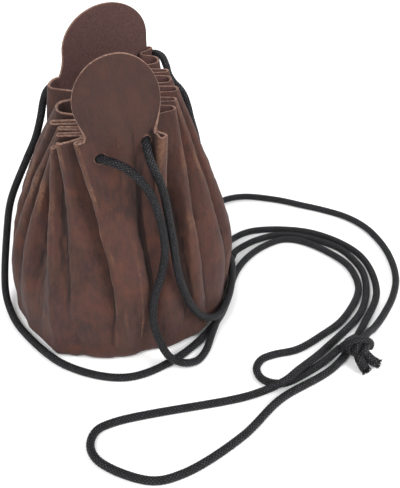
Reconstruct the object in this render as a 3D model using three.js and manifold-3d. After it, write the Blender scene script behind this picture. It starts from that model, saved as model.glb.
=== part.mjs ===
// A gathered leather coin pouch with a braided drawcord, in millimetres.
// +Z is up, the pouch stands on z = 0, its front tab faces -Y and +X is its right-hand side.

import * as THREE from 'three';
import { mergeVertices } from 'three/addons/utils/BufferGeometryUtils.js';
import Module from 'manifold-3d';

// ---------------------------------------------------------------- driving dimensions

const LEATHER = 1.3;          // thickness of the hide
const CORD = 3.6;             // diameter of the braided cord
const GAP = 0.3;              // clearance between two solids that touch
const WALL_ROWS = 10;         // steps of the wall from the base corner to the rim
const TAB_ROWS = 4;           // steps of a tab above the rim
const CORNER_RADIUS = 4;      // rounding between the flat base and the wall
const CORNER_ROWS = 2;
const CORNER_STEPS = [0, 2 / 3]; // places along one rounded corner of a bend
const BEND_SHARE = 0.45;      // most of the way to its neighbour that a bend may take
const TAB_ARC_SHARE = 0.62;   // part of a tab's half outline that is its round top
const END_GAP = 0.35;         // how far the end of a cord stays from where it meets the next
const CORD_SIDES = 8;
const FLOOR_HEIGHT = CORD / 2 + 0.05; // lowest middle of a cord that lies on the floor
const SPLINE_DIVISIONS = 40;  // length samples for each point of a cord
const STRAIGHT_BEND = 0.002;  // bend for each millimetre that a straight stretch counts as
const STEP_EFFORT = 1.1;      // how far one step of a tube goes
const MOST_STEPS = 80;
const MERGE_DISTANCE = 1e-4;
const KNOT_FACETS = [16, 10]; // round its axis, from pole to pole
const CENTRE = { x: 2.3, y: 0 }; // middle of the hide's own box, which becomes the origin

// The wall is drawn through four levels. The first three are rings about a centre, and the
// folds are given on them as an angle and an offset from the ring. The rim is given by place.
const LEVELS = {
  base: { height: LEATHER / 2 + CORNER_RADIUS, x: 1.5, y: 0, radius: 54.5 },
  belly: { height: 36, x: 3.1, y: 0, radius: 53.2 },
  waist: { height: 76, x: 4.0, y: 1.5, radius: 40.6 },
};
const RIM_HEIGHT = 111;
const BELLY_SHARE = (LEVELS.belly.height - LEVELS.base.height) / (RIM_HEIGHT - LEVELS.base.height);
const WAIST_SHARE = (LEVELS.waist.height - LEVELS.base.height) / (RIM_HEIGHT - LEVELS.base.height);

// Every bend of the pleated wall, counter-clockwise seen from above, starting at the left
// edge of the front panel. Angles are in degrees, offsets and places in millimetres.
//   base: angle, offset | belly: angle, offset, half width | waist: angle, offset, half width
//   rim: x, y, height, half width
const BEND_COLUMNS = ['name', 'baseAngle', 'baseOffset', 'bellyAngle', 'bellyOffset', 'bellyHalf',
  'waistAngle', 'waistOffset', 'waistHalf', 'rimX', 'rimY', 'rimZ', 'rimHalf'];
const BENDS = [
  ['front_left_edge', -84, 0.4, -86.5, 1.2, 1.5, -97.5, 2.0, 1.2, -8.3, -38.7, 110, 1.2],
  ['front_panel', -78.5, -0.6, -79.5, 1.2, 3.0, -87, 2.4, 3.5, 3.0, -35.4, 111, 5.0],
  ['front_crease_edge', -74.5, -1.7, -73.5, 0.8, 1.6, -76.5, 1.2, 1.6, 12.5, -34.2, 111, 3.0],
  ['front_crease', -70.5, -1.6, -70, -1.8, 1.2, -72.5, -3.0, 1.2, 18.0, -32.4, 111, 1.5],
  ['front_dent', -65, -0.6, -65, -0.4, 2.5, -65, -0.4, 1.6, 23.0, -30.0, 111, 1.3],
  ['roll', -57, 0.4, -57.5, 0.6, 4.0, -57, 1.2, 3.0, 28.2, -33.2, 110, 2.3],
  ['roll_valley', -50, 0.6, -50.5, -1.6, 1.6, -48.5, -6.0, 1.4, 14.5, -20.5, 110, 1.6],
  ['right_1', -42, 1.4, -44, 1.4, 2.2, -37.5, 1.8, 1.6, 31.8, -7.2, 110, 1.9],
  ['right_1_valley', -37, 0.6, -39, -2.4, 1.3, -31, -6.5, 1.3, 12.5, -3.2, 110, 1.3],
  ['right_2', -23, 1.2, -23.5, 1.8, 3.6, -18, 2.0, 2.0, 32.0, 0.7, 110, 1.7],
  ['right_2_valley', -11, 0, -11, -2.4, 1.6, -8, -7.0, 1.4, 11.5, 4.9, 110, 1.3],
  ['right_3', 2, 0.8, 1, 1.6, 5.0, 1, 1.8, 2.2, 32.6, 10.2, 110.5, 2.6],
  ['right_3_valley', 13, 0, 12, -2.4, 1.6, 10, -7.0, 1.4, 11.0, 15.2, 110, 1.3],
  ['right_4', 24, 0.8, 23, 1.6, 5.0, 19, 1.8, 2.4, 29.2, 21.2, 110, 3.6],
  ['right_4_valley', 35, 0, 34, -2.4, 1.6, 28, -7.0, 1.4, 10.5, 26.6, 110, 1.3],
  ['right_5', 46, 0.8, 45, 1.6, 5.0, 37, 1.8, 2.0, 27.4, 30.4, 110, 1.5],
  ['right_5_valley', 57, 0, 56, -2.4, 1.6, 46, -7.0, 1.4, 10.0, 34.2, 110, 1.3],
  ['right_6', 68, 0.8, 67, 1.6, 5.0, 58, 1.8, 2.6, 22.4, 40.6, 111, 4.0],
  ['right_6_valley', 78, 0, 77, -2.0, 1.6, 69, -5.5, 1.3, 13.6, 45.4, 112, 1.2],
  ['rear_right_edge', 88, 0.8, 87, 1.4, 4.0, 79, 1.6, 2.0, 18.2, 51.4, 113, 1.6],
  ['rear_panel_1', 97, 0.4, 97, 0.4, 3.0, 90, 0.6, 3.0, 7.0, 43.6, 112, 3.5],
  ['rear_crease', 107, -0.6, 107, -2.0, 1.6, 103, -3.0, 1.6, -3.4, 37.0, 111, 3.0],
  ['rear_panel_2', 119, 0.6, 119, 1.4, 5.0, 116, 1.6, 3.6, -13.4, 30.6, 111, 3.0],
  ['rear_left_edge', 133, 0, 133, -2.2, 1.6, 135, -4.5, 1.6, -21.6, 24.2, 110.5, 1.4],
  ['left_1', 145, 0.8, 145, 1.6, 5.0, 151, 1.8, 3.0, -27.2, 15.6, 110.5, 4.6],
  ['left_1_valley', 157, 0, 157, -2.4, 1.6, 165, -7.0, 1.5, -6.0, 3.2, 111, 1.7],
  ['left_2', 167, 0.8, 167, 1.6, 4.0, 179, 1.8, 2.4, -20.4, -8.6, 111, 5.2],
  ['left_2_valley', 175, 0, 175, -2.4, 1.5, -174, -7.0, 1.4, -5.0, -17.6, 110.5, 1.3],
  ['left_3', -177, 0.8, -177, 1.4, 2.6, -167, 1.8, 1.5, -20.8, -21.6, 110.5, 1.5],
  ['left_3_valley', -169, 0, -169, -2.4, 1.4, -160, -6.0, 1.3, -4.6, -24.0, 110.5, 1.3],
  ['left_4', -161, 0.8, -161, 1.6, 2.8, -153, 1.8, 1.5, -16.6, -26.5, 110.5, 1.2],
  ['left_4_valley', -151, 0.4, -151.5, -2.2, 1.4, -147, -5.5, 1.2, -5.4, -28.0, 110, 1.0],
  ['left_5', -143, 1.0, -144, 1.6, 2.2, -142, 1.8, 1.4, -16.6, -30.3, 109.5, 1.2],
  ['left_5_valley', -130, 1.8, -132, -2.2, 1.5, -135.5, -5.5, 1.2, -6.4, -31.8, 109.5, 1.0],
  ['left_6', -116, 4.4, -121, 2.4, 1.5, -130, 2.2, 1.3, -18.8, -34.4, 105.5, 1.2],
  ['left_6_dip', -111, 3.0, -113, 0.6, 2.0, -122.5, -2.2, 1.5, -13.0, -35.6, 108.5, 0.9],
  ['left_swell', -103, 1.2, -105.5, 1.8, 3.5, -116.5, 0.8, 2.0, -15.4, -38.5, 110, 1.0],
  ['front_left_valley', -90, 0.6, -88, -3.0, 1.1, -99.5, -5.5, 1.1, -3.8, -33.6, 109.5, 1.0],
].map((row) => Object.fromEntries(BEND_COLUMNS.map((column, i) => [column, row[i]])));

// Each tab grows out of the rim between two bends. It is widest at `height`, `left` and
// `right` of its middle (a share of the way along the rim), rises above that as half an
// ellipse, and below it draws in to a neck before it meets the rim.
const TAB_COLUMNS = ['from', 'to', 'middle', 'left', 'right', 'height', 'rise', 'leftNeck', 'rightNeck'];
const TABS = [
  ['front_left_edge', 'front_dent', 0.555, 19.0, 16.6, 127, 20.5, 7, 2],
  ['rear_right_edge', 'rear_left_edge', 0.48, 23.5, 22.5, 121, 19, 0.5, 0.5],
].map((row) => Object.fromEntries(TAB_COLUMNS.map((column, i) => [column, row[i]])));

// ---------------------------------------------------------------- the cord's routes

// Points of each piece of the cord, in order: x, y and height.
const ROUTES = {
  // The front left hole, down the front, round its small loop and along the right side.
  cord_front_left: [
    [-4.5, -26.5, 99.4], [-2.4, -31.2, 100.6], [-0.2, -35.6, 101.7], [3.3, -39.1, 102.7],
    [8, -42, 102.9], [13.4, -43.8, 100.8], [18.2, -44.2, 95.8], [22.4, -43.6, 87.8],
    [25.2, -43.6, 77.8], [26.9, -44.6, 68.7], [27.4, -46.8, 59], [25.4, -49.8, 48.3],
    [22.3, -52.6, 38], [21.4, -54.6, 26], [24, -56.6, 14.6], [28.8, -59.8, 7.2], [35.4, -60.8, 4.4],
    [41.6, -57.4, 2.4], [45.8, -50.4, 2], [48.6, -41.8, 3.8], [51.6, -33, 5.8], [56.4, -20, 6],
    [59.6, -6, 6.2], [60, 5, 5.6], [59.6, 11.6, 3.6], [59.9, 17.2, 2.2], [61.2, 21.8, 1.9],
  ],
  // From there round both bights of the bundle and back up to the front right hole.
  cord_front_loop: [
    [61.2, 21.8, 1.9], [62.9, 26.4, 1.9], [76.4, 37.6, 1.9], [92.5, 42.1, 1.9], [119.8, 31.3, 1.9],
    [128.4, 19.5, 1.9], [132.2, 5.3, 1.9], [126.8, -20.8, 1.9], [103.2, -50.6, 2.8],
    [88.4, -67.2, 6.2], [81.6, -73.2, 5.6], [66, -79, 2.6], [5.6, -93.6, 1.9], [-2.2, -98.6, 1.9],
    [-3.8, -106.2, 1.9], [0.6, -114, 1.9], [22.8, -123.4, 1.9], [36.4, -119.9, 1.9],
    [61.4, -101.2, 1.9], [79.4, -80.8, 1.9], [106.6, -61, 1.9], [125, -33, 1.9], [136.7, -6.2, 1.9],
    [132, 24.6, 1.9], [107.6, 44.4, 1.9], [75, 46.2, 1.9], [62.4, 38.4, 2.1], [56.9, 25.8, 5.4],
    [60.1, 6.5, 10.3], [57.6, -20.1, 10.4], [51.2, -35, 10.5], [43, -42.4, 18], [34.2, -47.6, 42.8],
    [30.1, -41.6, 68.7], [26.6, -39.4, 90], [23.6, -39.6, 98.6], [21.6, -37.7, 104],
    [20.6, -34, 106.9], [20.1, -30, 107.7], [19.8, -26.4, 107],
  ],
  // The rear left hole, down the left side, round the front, the bundle and its bight to the knot.
  cord_rear_left: [
    [-13.2, 25.4, 95.6], [-15.2, 30, 96.8], [-18.8, 33, 98.8], [-23.4, 33.3, 101],
    [-28, 30.8, 102.5], [-30.8, 25.6, 102.2], [-32, 19.4, 99.6], [-33.4, 14.6, 93.2],
    [-36.6, 11.2, 83.8], [-41.6, 8.8, 74], [-51.2, 2.8, 54], [-54.6, -2, 39], [-58, -13.4, 8.4],
    [-54.2, -23, 2.8], [-45.4, -37, 1.9], [-20.2, -60.4, 1.9], [9.2, -67.6, 1.9],
    [32.4, -54.8, 1.9], [51.2, -30.4, 1.9], [57.6, -13, 1.9], [61, 3.5, 1.9], [67.4, 18, 1.9],
    [78.2, 30.4, 1.9], [91.6, 37.7, 1.9], [104.2, 34.6, 1.9], [123, 17.2, 1.9], [127.2, 5.2, 1.9],
    [126.8, -7.6, 1.9], [115.4, -28.8, 1.9], [104, -39.6, 1.9], [90, -49.8, 1.9],
    [78.4, -53.2, 1.9], [72.4, -56.4, 1.9], [69.6, -62.2, 1.9], [71.2, -67.8, 1.9], [76, -71, 1.9],
    [82.4, -71, 1.9], [95, -63.4, 1.9], [104.4, -56.2, 2.8], [110.6, -52.4, 6.6],
  ],
  // The rear right hole, down behind the pouch and round the outside of the bundle to the knot.
  cord_rear_right: [
    [11.4, 38.2, 99.8], [9.2, 40.9, 101.6], [7.9, 44.6, 103.4], [8.6, 48.8, 105.2],
    [11.4, 52.2, 106.8], [16, 53.9, 108.2], [20.2, 52.9, 109.1], [23.6, 50, 108.8],
    [25.9, 45, 106.5], [27.4, 40.6, 103.4], [29.8, 36.4, 101.2], [32.6, 32.2, 100.2],
    [35, 27.8, 98.6], [36.8, 24.8, 94.8], [38, 23.6, 89.8], [39, 24.4, 85], [40.4, 28, 77.6],
    [41.8, 34.6, 65.8], [43.2, 40.6, 50], [44.6, 46, 33], [45.6, 52, 18], [47.4, 60.6, 7.6],
    [51.2, 70.4, 2.6], [58.8, 78.2, 1.9], [70.6, 81.6, 1.9], [91.3, 77.9, 1.9], [105, 72.5, 1.9],
    [119, 66.7, 1.9], [130.7, 60, 1.9], [140, 50.2, 1.9], [146.6, 35.5, 1.9], [149.6, 19.1, 1.9],
    [148.8, 2.5, 1.9], [144.2, -11.7, 1.9], [137.4, -24.4, 1.9], [129.8, -36.2, 3.4],
    [125, -43.2, 6.6], [121.2, -48.9, 8.2],
  ],
  // Inside the left pleats, between the two left holes.
  cord_left_run: [
    [-4.5, -26.5, 99.4], [-8, -19.6, 98], [-10.4, -10, 96.8], [-11.4, 0, 96], [-11.6, 10, 95.4],
    [-11.4, 17.6, 95], [-12, 21.6, 95], [-13.2, 25.4, 95.6],
  ],
  // Through the right pleats, between the two right holes.
  cord_right_run: [
    [19.8, -26.4, 107], [20, -23, 105.4], [22, -17, 101.6], [24.4, -10.4, 98.8], [26, -3, 97.4],
    [26.6, 6, 96.8], [26.4, 15, 96.4], [25, 23.5, 96.2], [21.8, 30.5, 96.6], [16.6, 35.4, 97.4],
    [13.8, 36.6, 98.4], [11.4, 38.2, 99.8],
  ],
  // The two cut ends below the knot.
  cord_tail_1: [
    [121.9, -56.7, 5.4], [124.8, -58.4, 3.4], [128.8, -60, 2],
  ],
  cord_tail_2: [
    [118.3, -59.3, 5.6], [119.8, -61.8, 3.4], [121.8, -65, 1.95],
  ],
};

// Stretches of the cord that go through the hide. A hole is cut along each of them.
const THREADED = [
  ROUTES.cord_front_left.slice(0, 5),
  ROUTES.cord_front_loop.slice(-6),
  ROUTES.cord_rear_left.slice(0, 4),
  ROUTES.cord_rear_right.slice(0, 5),
  ROUTES.cord_right_run,
];

// The overhand knot's outer form.
const KNOT = { x: 117.4, y: -53.7, z: 8.6, length: 14, width: 12, height: 8.6, turn: -39 };

// ---------------------------------------------------------------- the pleated section

const radians = (degrees) => (degrees * Math.PI) / 180;

/** Slope-matched blend of four values that belong to the four levels. */
function throughLevels(values, share) {
  const at = [0, BELLY_SHARE, WAIST_SHARE, 1];
  let k = 0;
  while (k < 2 && share > at[k + 1]) k += 1;
  const slope = (i) => {
    const a = Math.max(i - 1, 0);
    const b = Math.min(i + 1, 3);
    return (values[b] - values[a]) / (at[b] - at[a]);
  };
  const span = at[k + 1] - at[k];
  const s = (share - at[k]) / span;
  const s2 = s * s;
  const s3 = s2 * s;
  return values[k] * (2 * s3 - 3 * s2 + 1) + values[k + 1] * (3 * s2 - 2 * s3)
    + span * (slope(k) * (s3 - 2 * s2 + s) + slope(k + 1) * (s3 - s2));
}

/** Place of a bend on a ring level. */
function onRing(level, angle, offset) {
  const reach = level.radius + offset;
  return [level.x + reach * Math.cos(radians(angle)), level.y + reach * Math.sin(radians(angle))];
}

/** Middle, direction, rim height and half width of every bend at a share of the wall's height. */
function bendPlaces(share) {
  const places = BENDS.map((bend) => {
    const rings = [
      onRing(LEVELS.base, bend.baseAngle, bend.baseOffset),
      onRing(LEVELS.belly, bend.bellyAngle, bend.bellyOffset),
      onRing(LEVELS.waist, bend.waistAngle, bend.waistOffset),
      [bend.rimX, bend.rimY],
    ];
    return {
      x: throughLevels(rings.map((p) => p[0]), share),
      y: throughLevels(rings.map((p) => p[1]), share),
      top: bend.rimZ,
      half: throughLevels([bend.bellyHalf, bend.bellyHalf, bend.waistHalf, bend.rimHalf], share),
    };
  });
  return places.map((place, i) => {
    const before = places[(i + places.length - 1) % places.length];
    const after = places[(i + 1) % places.length];
    // A shallow bend lies along the line between its neighbours, and a deep one across its fold.
    const across = Math.hypot(after.x - before.x, after.y - before.y);
    const ax = (after.x - before.x) / across;
    const ay = (after.y - before.y) / across;
    const fx = place.x - (before.x + after.x) / 2;
    const fy = place.y - (before.y + after.y) / 2;
    const depth = Math.hypot(fx, fy);
    const turn = Math.sign(fx * ay - fy * ax) / depth;
    const crosswise = Math.min(1, (2 * depth) / across);
    const dx = ax + crosswise * (-turn * fy - ax);
    const dy = ay + crosswise * (turn * fx - ay);
    const length = Math.hypot(dx, dy);
    const room = Math.min(Math.hypot(place.x - before.x, place.y - before.y),
      Math.hypot(after.x - place.x, after.y - place.y));
    const half = Math.min(place.half, BEND_SHARE * room);
    return { ...place, dx: dx / length, dy: dy / length, half };
  });
}

/**
 * The closed section at a share of the wall's height. Every bend is a flat tip between two
 * rounded corners. Each point keeps the height of the rim above it and the bend it is on.
 */
function section(share) {
  const corners = bendPlaces(share).flatMap((place, bend) => [-1, 1].map((side) => ({
    x: place.x + side * place.half * place.dx,
    y: place.y + side * place.half * place.dy,
    place,
    bend,
    side,
  })));
  return corners.flatMap((corner, i) => {
    const { place, bend, side } = corner;
    const next = corners[(i + side + corners.length) % corners.length];
    const leg = Math.hypot(next.x - corner.x, next.y - corner.y);
    const cut = Math.min(place.half / leg, BEND_SHARE);
    const start = {
      x: corner.x + (next.x - corner.x) * cut,
      y: corner.y + (next.y - corner.y) * cut,
      top: place.top + (next.place.top - place.top) * cut,
    };
    const steps = side < 0 ? CORNER_STEPS : CORNER_STEPS.slice().reverse();
    return steps.map((t) => {
      const a = (1 - t) * (1 - t);
      const b = 2 * t * (1 - t);
      const c = t * t;
      return {
        x: a * start.x + b * corner.x + c * place.x,
        y: a * start.y + b * corner.y + c * place.y,
        top: a * start.top + (b + c) * place.top,
        bend,
      };
    });
  });
}

// ---------------------------------------------------------------- the tabs

/**
 * Outline of a tab at a place from -1 (its first corner) over 0 (its top) to 1, as a distance
 * along the rim's chord and a height.
 */
function tabOutline(tab, place, chord, firstTop, lastTop) {
  const centre = tab.middle * chord;
  const isFirst = place < 0;
  const reach = isFirst ? centre - tab.left : centre + tab.right;
  const across = Math.abs(place);
  if (across <= TAB_ARC_SHARE) {
    const angle = (across / TAB_ARC_SHARE) * (Math.PI / 2);
    return [centre + (reach - centre) * Math.sin(angle), tab.height + tab.rise * Math.cos(angle)];
  }
  const t = (across - TAB_ARC_SHARE) / (1 - TAB_ARC_SHARE);
  const top = isFirst ? firstTop : lastTop;
  const corner = isFirst ? 0 : chord;
  const neck = isFirst ? tab.leftNeck : chord - tab.rightNeck;
  const waist = (tab.height + top) / 2;
  const blend = (p0, p1, p2, p3) => (1 - t) ** 3 * p0 + 3 * t * (1 - t) ** 2 * p1
    + 3 * t * t * (1 - t) * p2 + t ** 3 * p3;
  return [blend(reach, reach, neck, corner), blend(tab.height, waist, top, top)];
}

/** Top points of the columns of a tab, one for each point of its stretch of rim. */
function tabTops(tab, rim) {
  const first = rim[0];
  const last = rim[rim.length - 1];
  const chord = Math.hypot(last.x - first.x, last.y - first.y);
  const ux = (last.x - first.x) / chord;
  const uy = (last.y - first.y) / chord;
  return rim.map((_, i) => {
    const place = (2 * i) / (rim.length - 1) - 1;
    const [reach, height] = tabOutline(tab, place, chord, first.z, last.z);
    return new THREE.Vector3(first.x + ux * reach, first.y + uy * reach, height);
  });
}

// ---------------------------------------------------------------- the leather body

/** Rows of points from the middle of the base to the rim, and on over the tabs. */
function wallGrid() {
  const foot = section(0);
  const rows = [];
  for (let i = 0; i <= CORNER_ROWS; i += 1) {
    const angle = ((i / CORNER_ROWS) * Math.PI) / 2;
    rows.push(foot.map(({ x, y }) => {
      const reach = Math.hypot(x - LEVELS.base.x, y - LEVELS.base.y);
      const scale = (reach - CORNER_RADIUS * (1 - Math.sin(angle))) / reach;
      return new THREE.Vector3(LEVELS.base.x + (x - LEVELS.base.x) * scale,
        LEVELS.base.y + (y - LEVELS.base.y) * scale,
        LEATHER / 2 + CORNER_RADIUS * (1 - Math.cos(angle)));
    }));
  }
  for (let i = 1; i <= WALL_ROWS; i += 1) {
    const share = i / WALL_ROWS;
    rows.push(section(share).map(({ x, y, top }) => new THREE.Vector3(x, y,
      LEVELS.base.height + share * (top - LEVELS.base.height))));
  }
  return rows;
}

/** Closed solid of the folded hide: two faces half a thickness either side of its middle. */
function leatherSolid() {
  const rows = wallGrid();
  const rim = rows[rows.length - 1];
  const columns = rim.length;
  const points = rows.flat();
  const centre = points.push(new THREE.Vector3(LEVELS.base.x, LEVELS.base.y, LEATHER / 2)) - 1;
  const at = rows.map((row, i) => row.map((_, j) => i * columns + j));

  const perBend = columns / BENDS.length;
  const lastColumn = (name) => (BENDS.findIndex((bend) => bend.name === name) + 1) * perBend - 1;
  const tabRows = Array.from({ length: TAB_ROWS }, () => at[at.length - 1].slice());
  for (const tab of TABS) {
    const from = lastColumn(tab.from);
    const to = lastColumn(tab.to);
    const tops = tabTops(tab, rim.slice(from, to + 1));
    for (let j = from + 1; j < to; j += 1) {
      for (let i = 0; i < TAB_ROWS; i += 1) {
        const place = rim[j].clone().lerp(tops[j - from], (i + 1) / TAB_ROWS);
        tabRows[i][j] = points.push(place) - 1;
      }
    }
  }
  at.push(...tabRows);

  const faces = [];
  const addFace = (a, b, c) => {
    if (a !== b && b !== c && c !== a) faces.push([a, b, c]);
  };
  for (let j = 0; j < columns; j += 1) {
    const k = (j + 1) % columns;
    addFace(centre, at[0][k], at[0][j]);
    for (let i = 0; i + 1 < at.length; i += 1) {
      addFace(at[i][j], at[i][k], at[i + 1][k]);
      addFace(at[i][j], at[i + 1][k], at[i + 1][j]);
    }
  }

  const normals = points.map(() => new THREE.Vector3());
  const side = new THREE.Vector3();
  const other = new THREE.Vector3();
  for (const face of faces) {
    side.subVectors(points[face[1]], points[face[0]]);
    other.subVectors(points[face[2]], points[face[0]]);
    side.cross(other).normalize();
    for (const index of face) normals[index].add(side);
  }
  for (const index of [centre, ...at[0]]) normals[index].set(0, 0, -1);

  const positions = [];
  for (const way of [1, -1]) {
    points.forEach((point, i) => {
      const shifted = normals[i].clone().normalize().multiplyScalar((way * LEATHER) / 2).add(point);
      positions.push(shifted.x, shifted.y, shifted.z);
    });
  }
  const inner = points.length;
  const index = faces.flatMap(([a, b, c]) => [a, b, c, inner + a, inner + c, inner + b]);
  const edge = at[at.length - 1];
  for (let j = 0; j < columns; j += 1) {
    const a = edge[j];
    const b = edge[(j + 1) % columns];
    index.push(a, b, inner + b, a, inner + b, inner + a);
  }
  const geometry = new THREE.BufferGeometry();
  geometry.setAttribute('position', new THREE.Float32BufferAttribute(positions, 3));
  geometry.setIndex(index);
  return geometry;
}

// ---------------------------------------------------------------- the cord

/**
 * A smooth path through a cord's points, sampled more closely in its bends. Both ends stop
 * short, so that two pieces end to end stay apart.
 */
class CordPath extends THREE.Curve {
  constructor(points, endGap = END_GAP) {
    super();
    const places = points.map((point) => new THREE.Vector3(...point));
    this.spline = new THREE.CatmullRomCurve3(places, false, 'centripetal');
    this.spline.arcLengthDivisions = SPLINE_DIVISIONS * points.length;
    this.total = this.spline.getLength();
    this.stations = this.placeStations(endGap / this.total, 1 - endGap / this.total);
  }

  /** Shares of the spline's length, spaced so that every step strays from it alike. */
  placeStations(first, last) {
    const samples = Math.ceil(this.total);
    const effort = [0];
    let before = this.spline.getTangentAt(first);
    for (let i = 1; i <= samples; i += 1) {
      const tangent = this.spline.getTangentAt(first + ((last - first) * i) / samples);
      const bend = before.angleTo(tangent) + STRAIGHT_BEND;
      effort.push(effort[i - 1] + Math.sqrt(bend));
      before = tangent;
    }
    const steps = Math.min(MOST_STEPS, Math.ceil(effort[samples] / STEP_EFFORT));
    const stations = [first];
    let sample = 1;
    for (let i = 1; i < steps; i += 1) {
      const wanted = (effort[samples] * i) / steps;
      while (effort[sample] < wanted) sample += 1;
      const part = (wanted - effort[sample - 1]) / (effort[sample] - effort[sample - 1]);
      stations.push(first + ((last - first) * (sample - 1 + part)) / samples);
    }
    stations.push(last);
    return stations;
  }

  /** Share of the spline's length at a share of the steps. */
  shareAt(u) {
    const place = u * (this.stations.length - 1);
    const k = Math.min(Math.floor(place), this.stations.length - 2);
    return this.stations[k] + (this.stations[k + 1] - this.stations[k]) * (place - k);
  }

  getPointAt(u, target = new THREE.Vector3()) {
    this.spline.getPointAt(this.shareAt(u), target);
    target.z = Math.max(target.z, FLOOR_HEIGHT);
    return target;
  }

  getTangentAt(u, target = new THREE.Vector3()) {
    return this.spline.getTangentAt(this.shareAt(u), target);
  }
}

/** A closed round tube along a cord path, whose sides lie at least `radius` from its middle. */
function tube(path, radius, isOutside = false) {
  const reach = isOutside ? radius / Math.cos(Math.PI / CORD_SIDES) : radius;
  const outline = new THREE.Shape(Array.from({ length: CORD_SIDES }, (_, i) => {
    const angle = (2 * Math.PI * i) / CORD_SIDES;
    return new THREE.Vector2(reach * Math.cos(angle), reach * Math.sin(angle));
  }));
  return new THREE.ExtrudeGeometry(outline, { extrudePath: path, steps: path.stations.length - 1 });
}

// ---------------------------------------------------------------- the holes

const wasm = await Module();
wasm.setup();

/** Manifold solid of a closed geometry. */
function toSolid(geometry) {
  const bare = geometry.clone();
  bare.deleteAttribute('normal');
  bare.deleteAttribute('uv');
  const merged = mergeVertices(bare, MERGE_DISTANCE);
  return new wasm.Manifold(new wasm.Mesh({
    numProp: 3,
    vertProperties: new Float32Array(merged.getAttribute('position').array),
    triVerts: new Uint32Array(merged.getIndex().array),
  }));
}

/** Geometry of a manifold solid. */
function toGeometry(solid) {
  const mesh = solid.getMesh();
  const geometry = new THREE.BufferGeometry();
  geometry.setAttribute('position', new THREE.Float32BufferAttribute(mesh.vertProperties, 3));
  geometry.setIndex([...mesh.triVerts]);
  return geometry;
}

/** The hide with a hole wherever a cord goes through one of its walls. */
function piercedLeather() {
  return toGeometry(THREADED.reduce((solid, points) => {
    const cutter = tube(new CordPath(points, 0), CORD / 2 + GAP, true);
    return solid.subtract(toSolid(cutter));
  }, toSolid(leatherSolid())));
}

// ---------------------------------------------------------------- the assembly

const LEATHER_FINISH = new THREE.MeshStandardMaterial({ color: 0x6b4234, roughness: 0.75, metalness: 0 });
const CORD_FINISH = new THREE.MeshStandardMaterial({ color: 0x2a2a2c, roughness: 0.85, metalness: 0 });

const pouch = new THREE.Group();
pouch.position.set(-CENTRE.x, -CENTRE.y, 0);

/** Adds one named piece to the pouch. */
function addPiece(name, geometry, finish) {
  const piece = new THREE.Mesh(geometry, finish);
  piece.name = name;
  pouch.add(piece);
  return piece;
}

addPiece('leather_body', piercedLeather(), LEATHER_FINISH);
for (const [name, route] of Object.entries(ROUTES)) {
  addPiece(name, tube(new CordPath(route), CORD / 2), CORD_FINISH);
}
const knot = addPiece('cord_knot', new THREE.SphereGeometry(0.5, ...KNOT_FACETS), CORD_FINISH);
knot.scale.set(KNOT.length, KNOT.width, KNOT.height);
knot.rotation.z = radians(KNOT.turn);
knot.position.set(KNOT.x, KNOT.y, KNOT.z);

export default pouch;
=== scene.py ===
"""Looks of a gathered leather coin pouch with a braided drawcord, on its fixed frame.

Everything is in metres, in the frame's own axes: +Z is up and the front tab faces -Y. The
tables of the hide are in millimetres, as a pattern cutter writes them, and become metres where
the hide is drawn.
"""

import logging
import math
from dataclasses import dataclass, field
from enum import Enum

import bpy
import numpy as np
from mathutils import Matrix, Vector, noise


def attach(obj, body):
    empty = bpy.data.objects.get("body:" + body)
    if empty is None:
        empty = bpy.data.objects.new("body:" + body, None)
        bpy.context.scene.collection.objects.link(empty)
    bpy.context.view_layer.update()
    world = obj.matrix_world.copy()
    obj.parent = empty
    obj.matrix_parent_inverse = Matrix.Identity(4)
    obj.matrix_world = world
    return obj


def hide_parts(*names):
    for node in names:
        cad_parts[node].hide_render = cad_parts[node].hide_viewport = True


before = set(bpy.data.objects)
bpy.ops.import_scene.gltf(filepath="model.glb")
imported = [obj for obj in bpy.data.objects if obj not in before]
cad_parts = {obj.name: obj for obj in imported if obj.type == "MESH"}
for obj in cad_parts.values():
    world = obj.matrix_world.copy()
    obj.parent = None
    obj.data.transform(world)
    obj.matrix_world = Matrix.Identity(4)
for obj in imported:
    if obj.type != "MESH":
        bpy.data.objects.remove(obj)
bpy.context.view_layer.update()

MM = 0.001
LOG = logging.getLogger("coin_pouch")

CENTRE_X = 2.3  # millimetres from the cutter's own origin to the middle of the hide
CORD_WIDTH = 0.0036
CROSS_LIFT = 0.45  # share of a yarn's height that it gains or loses where it crosses another
FLOOR_LINE = 0.00193  # lowest middle of a cord that lies on the floor

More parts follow.
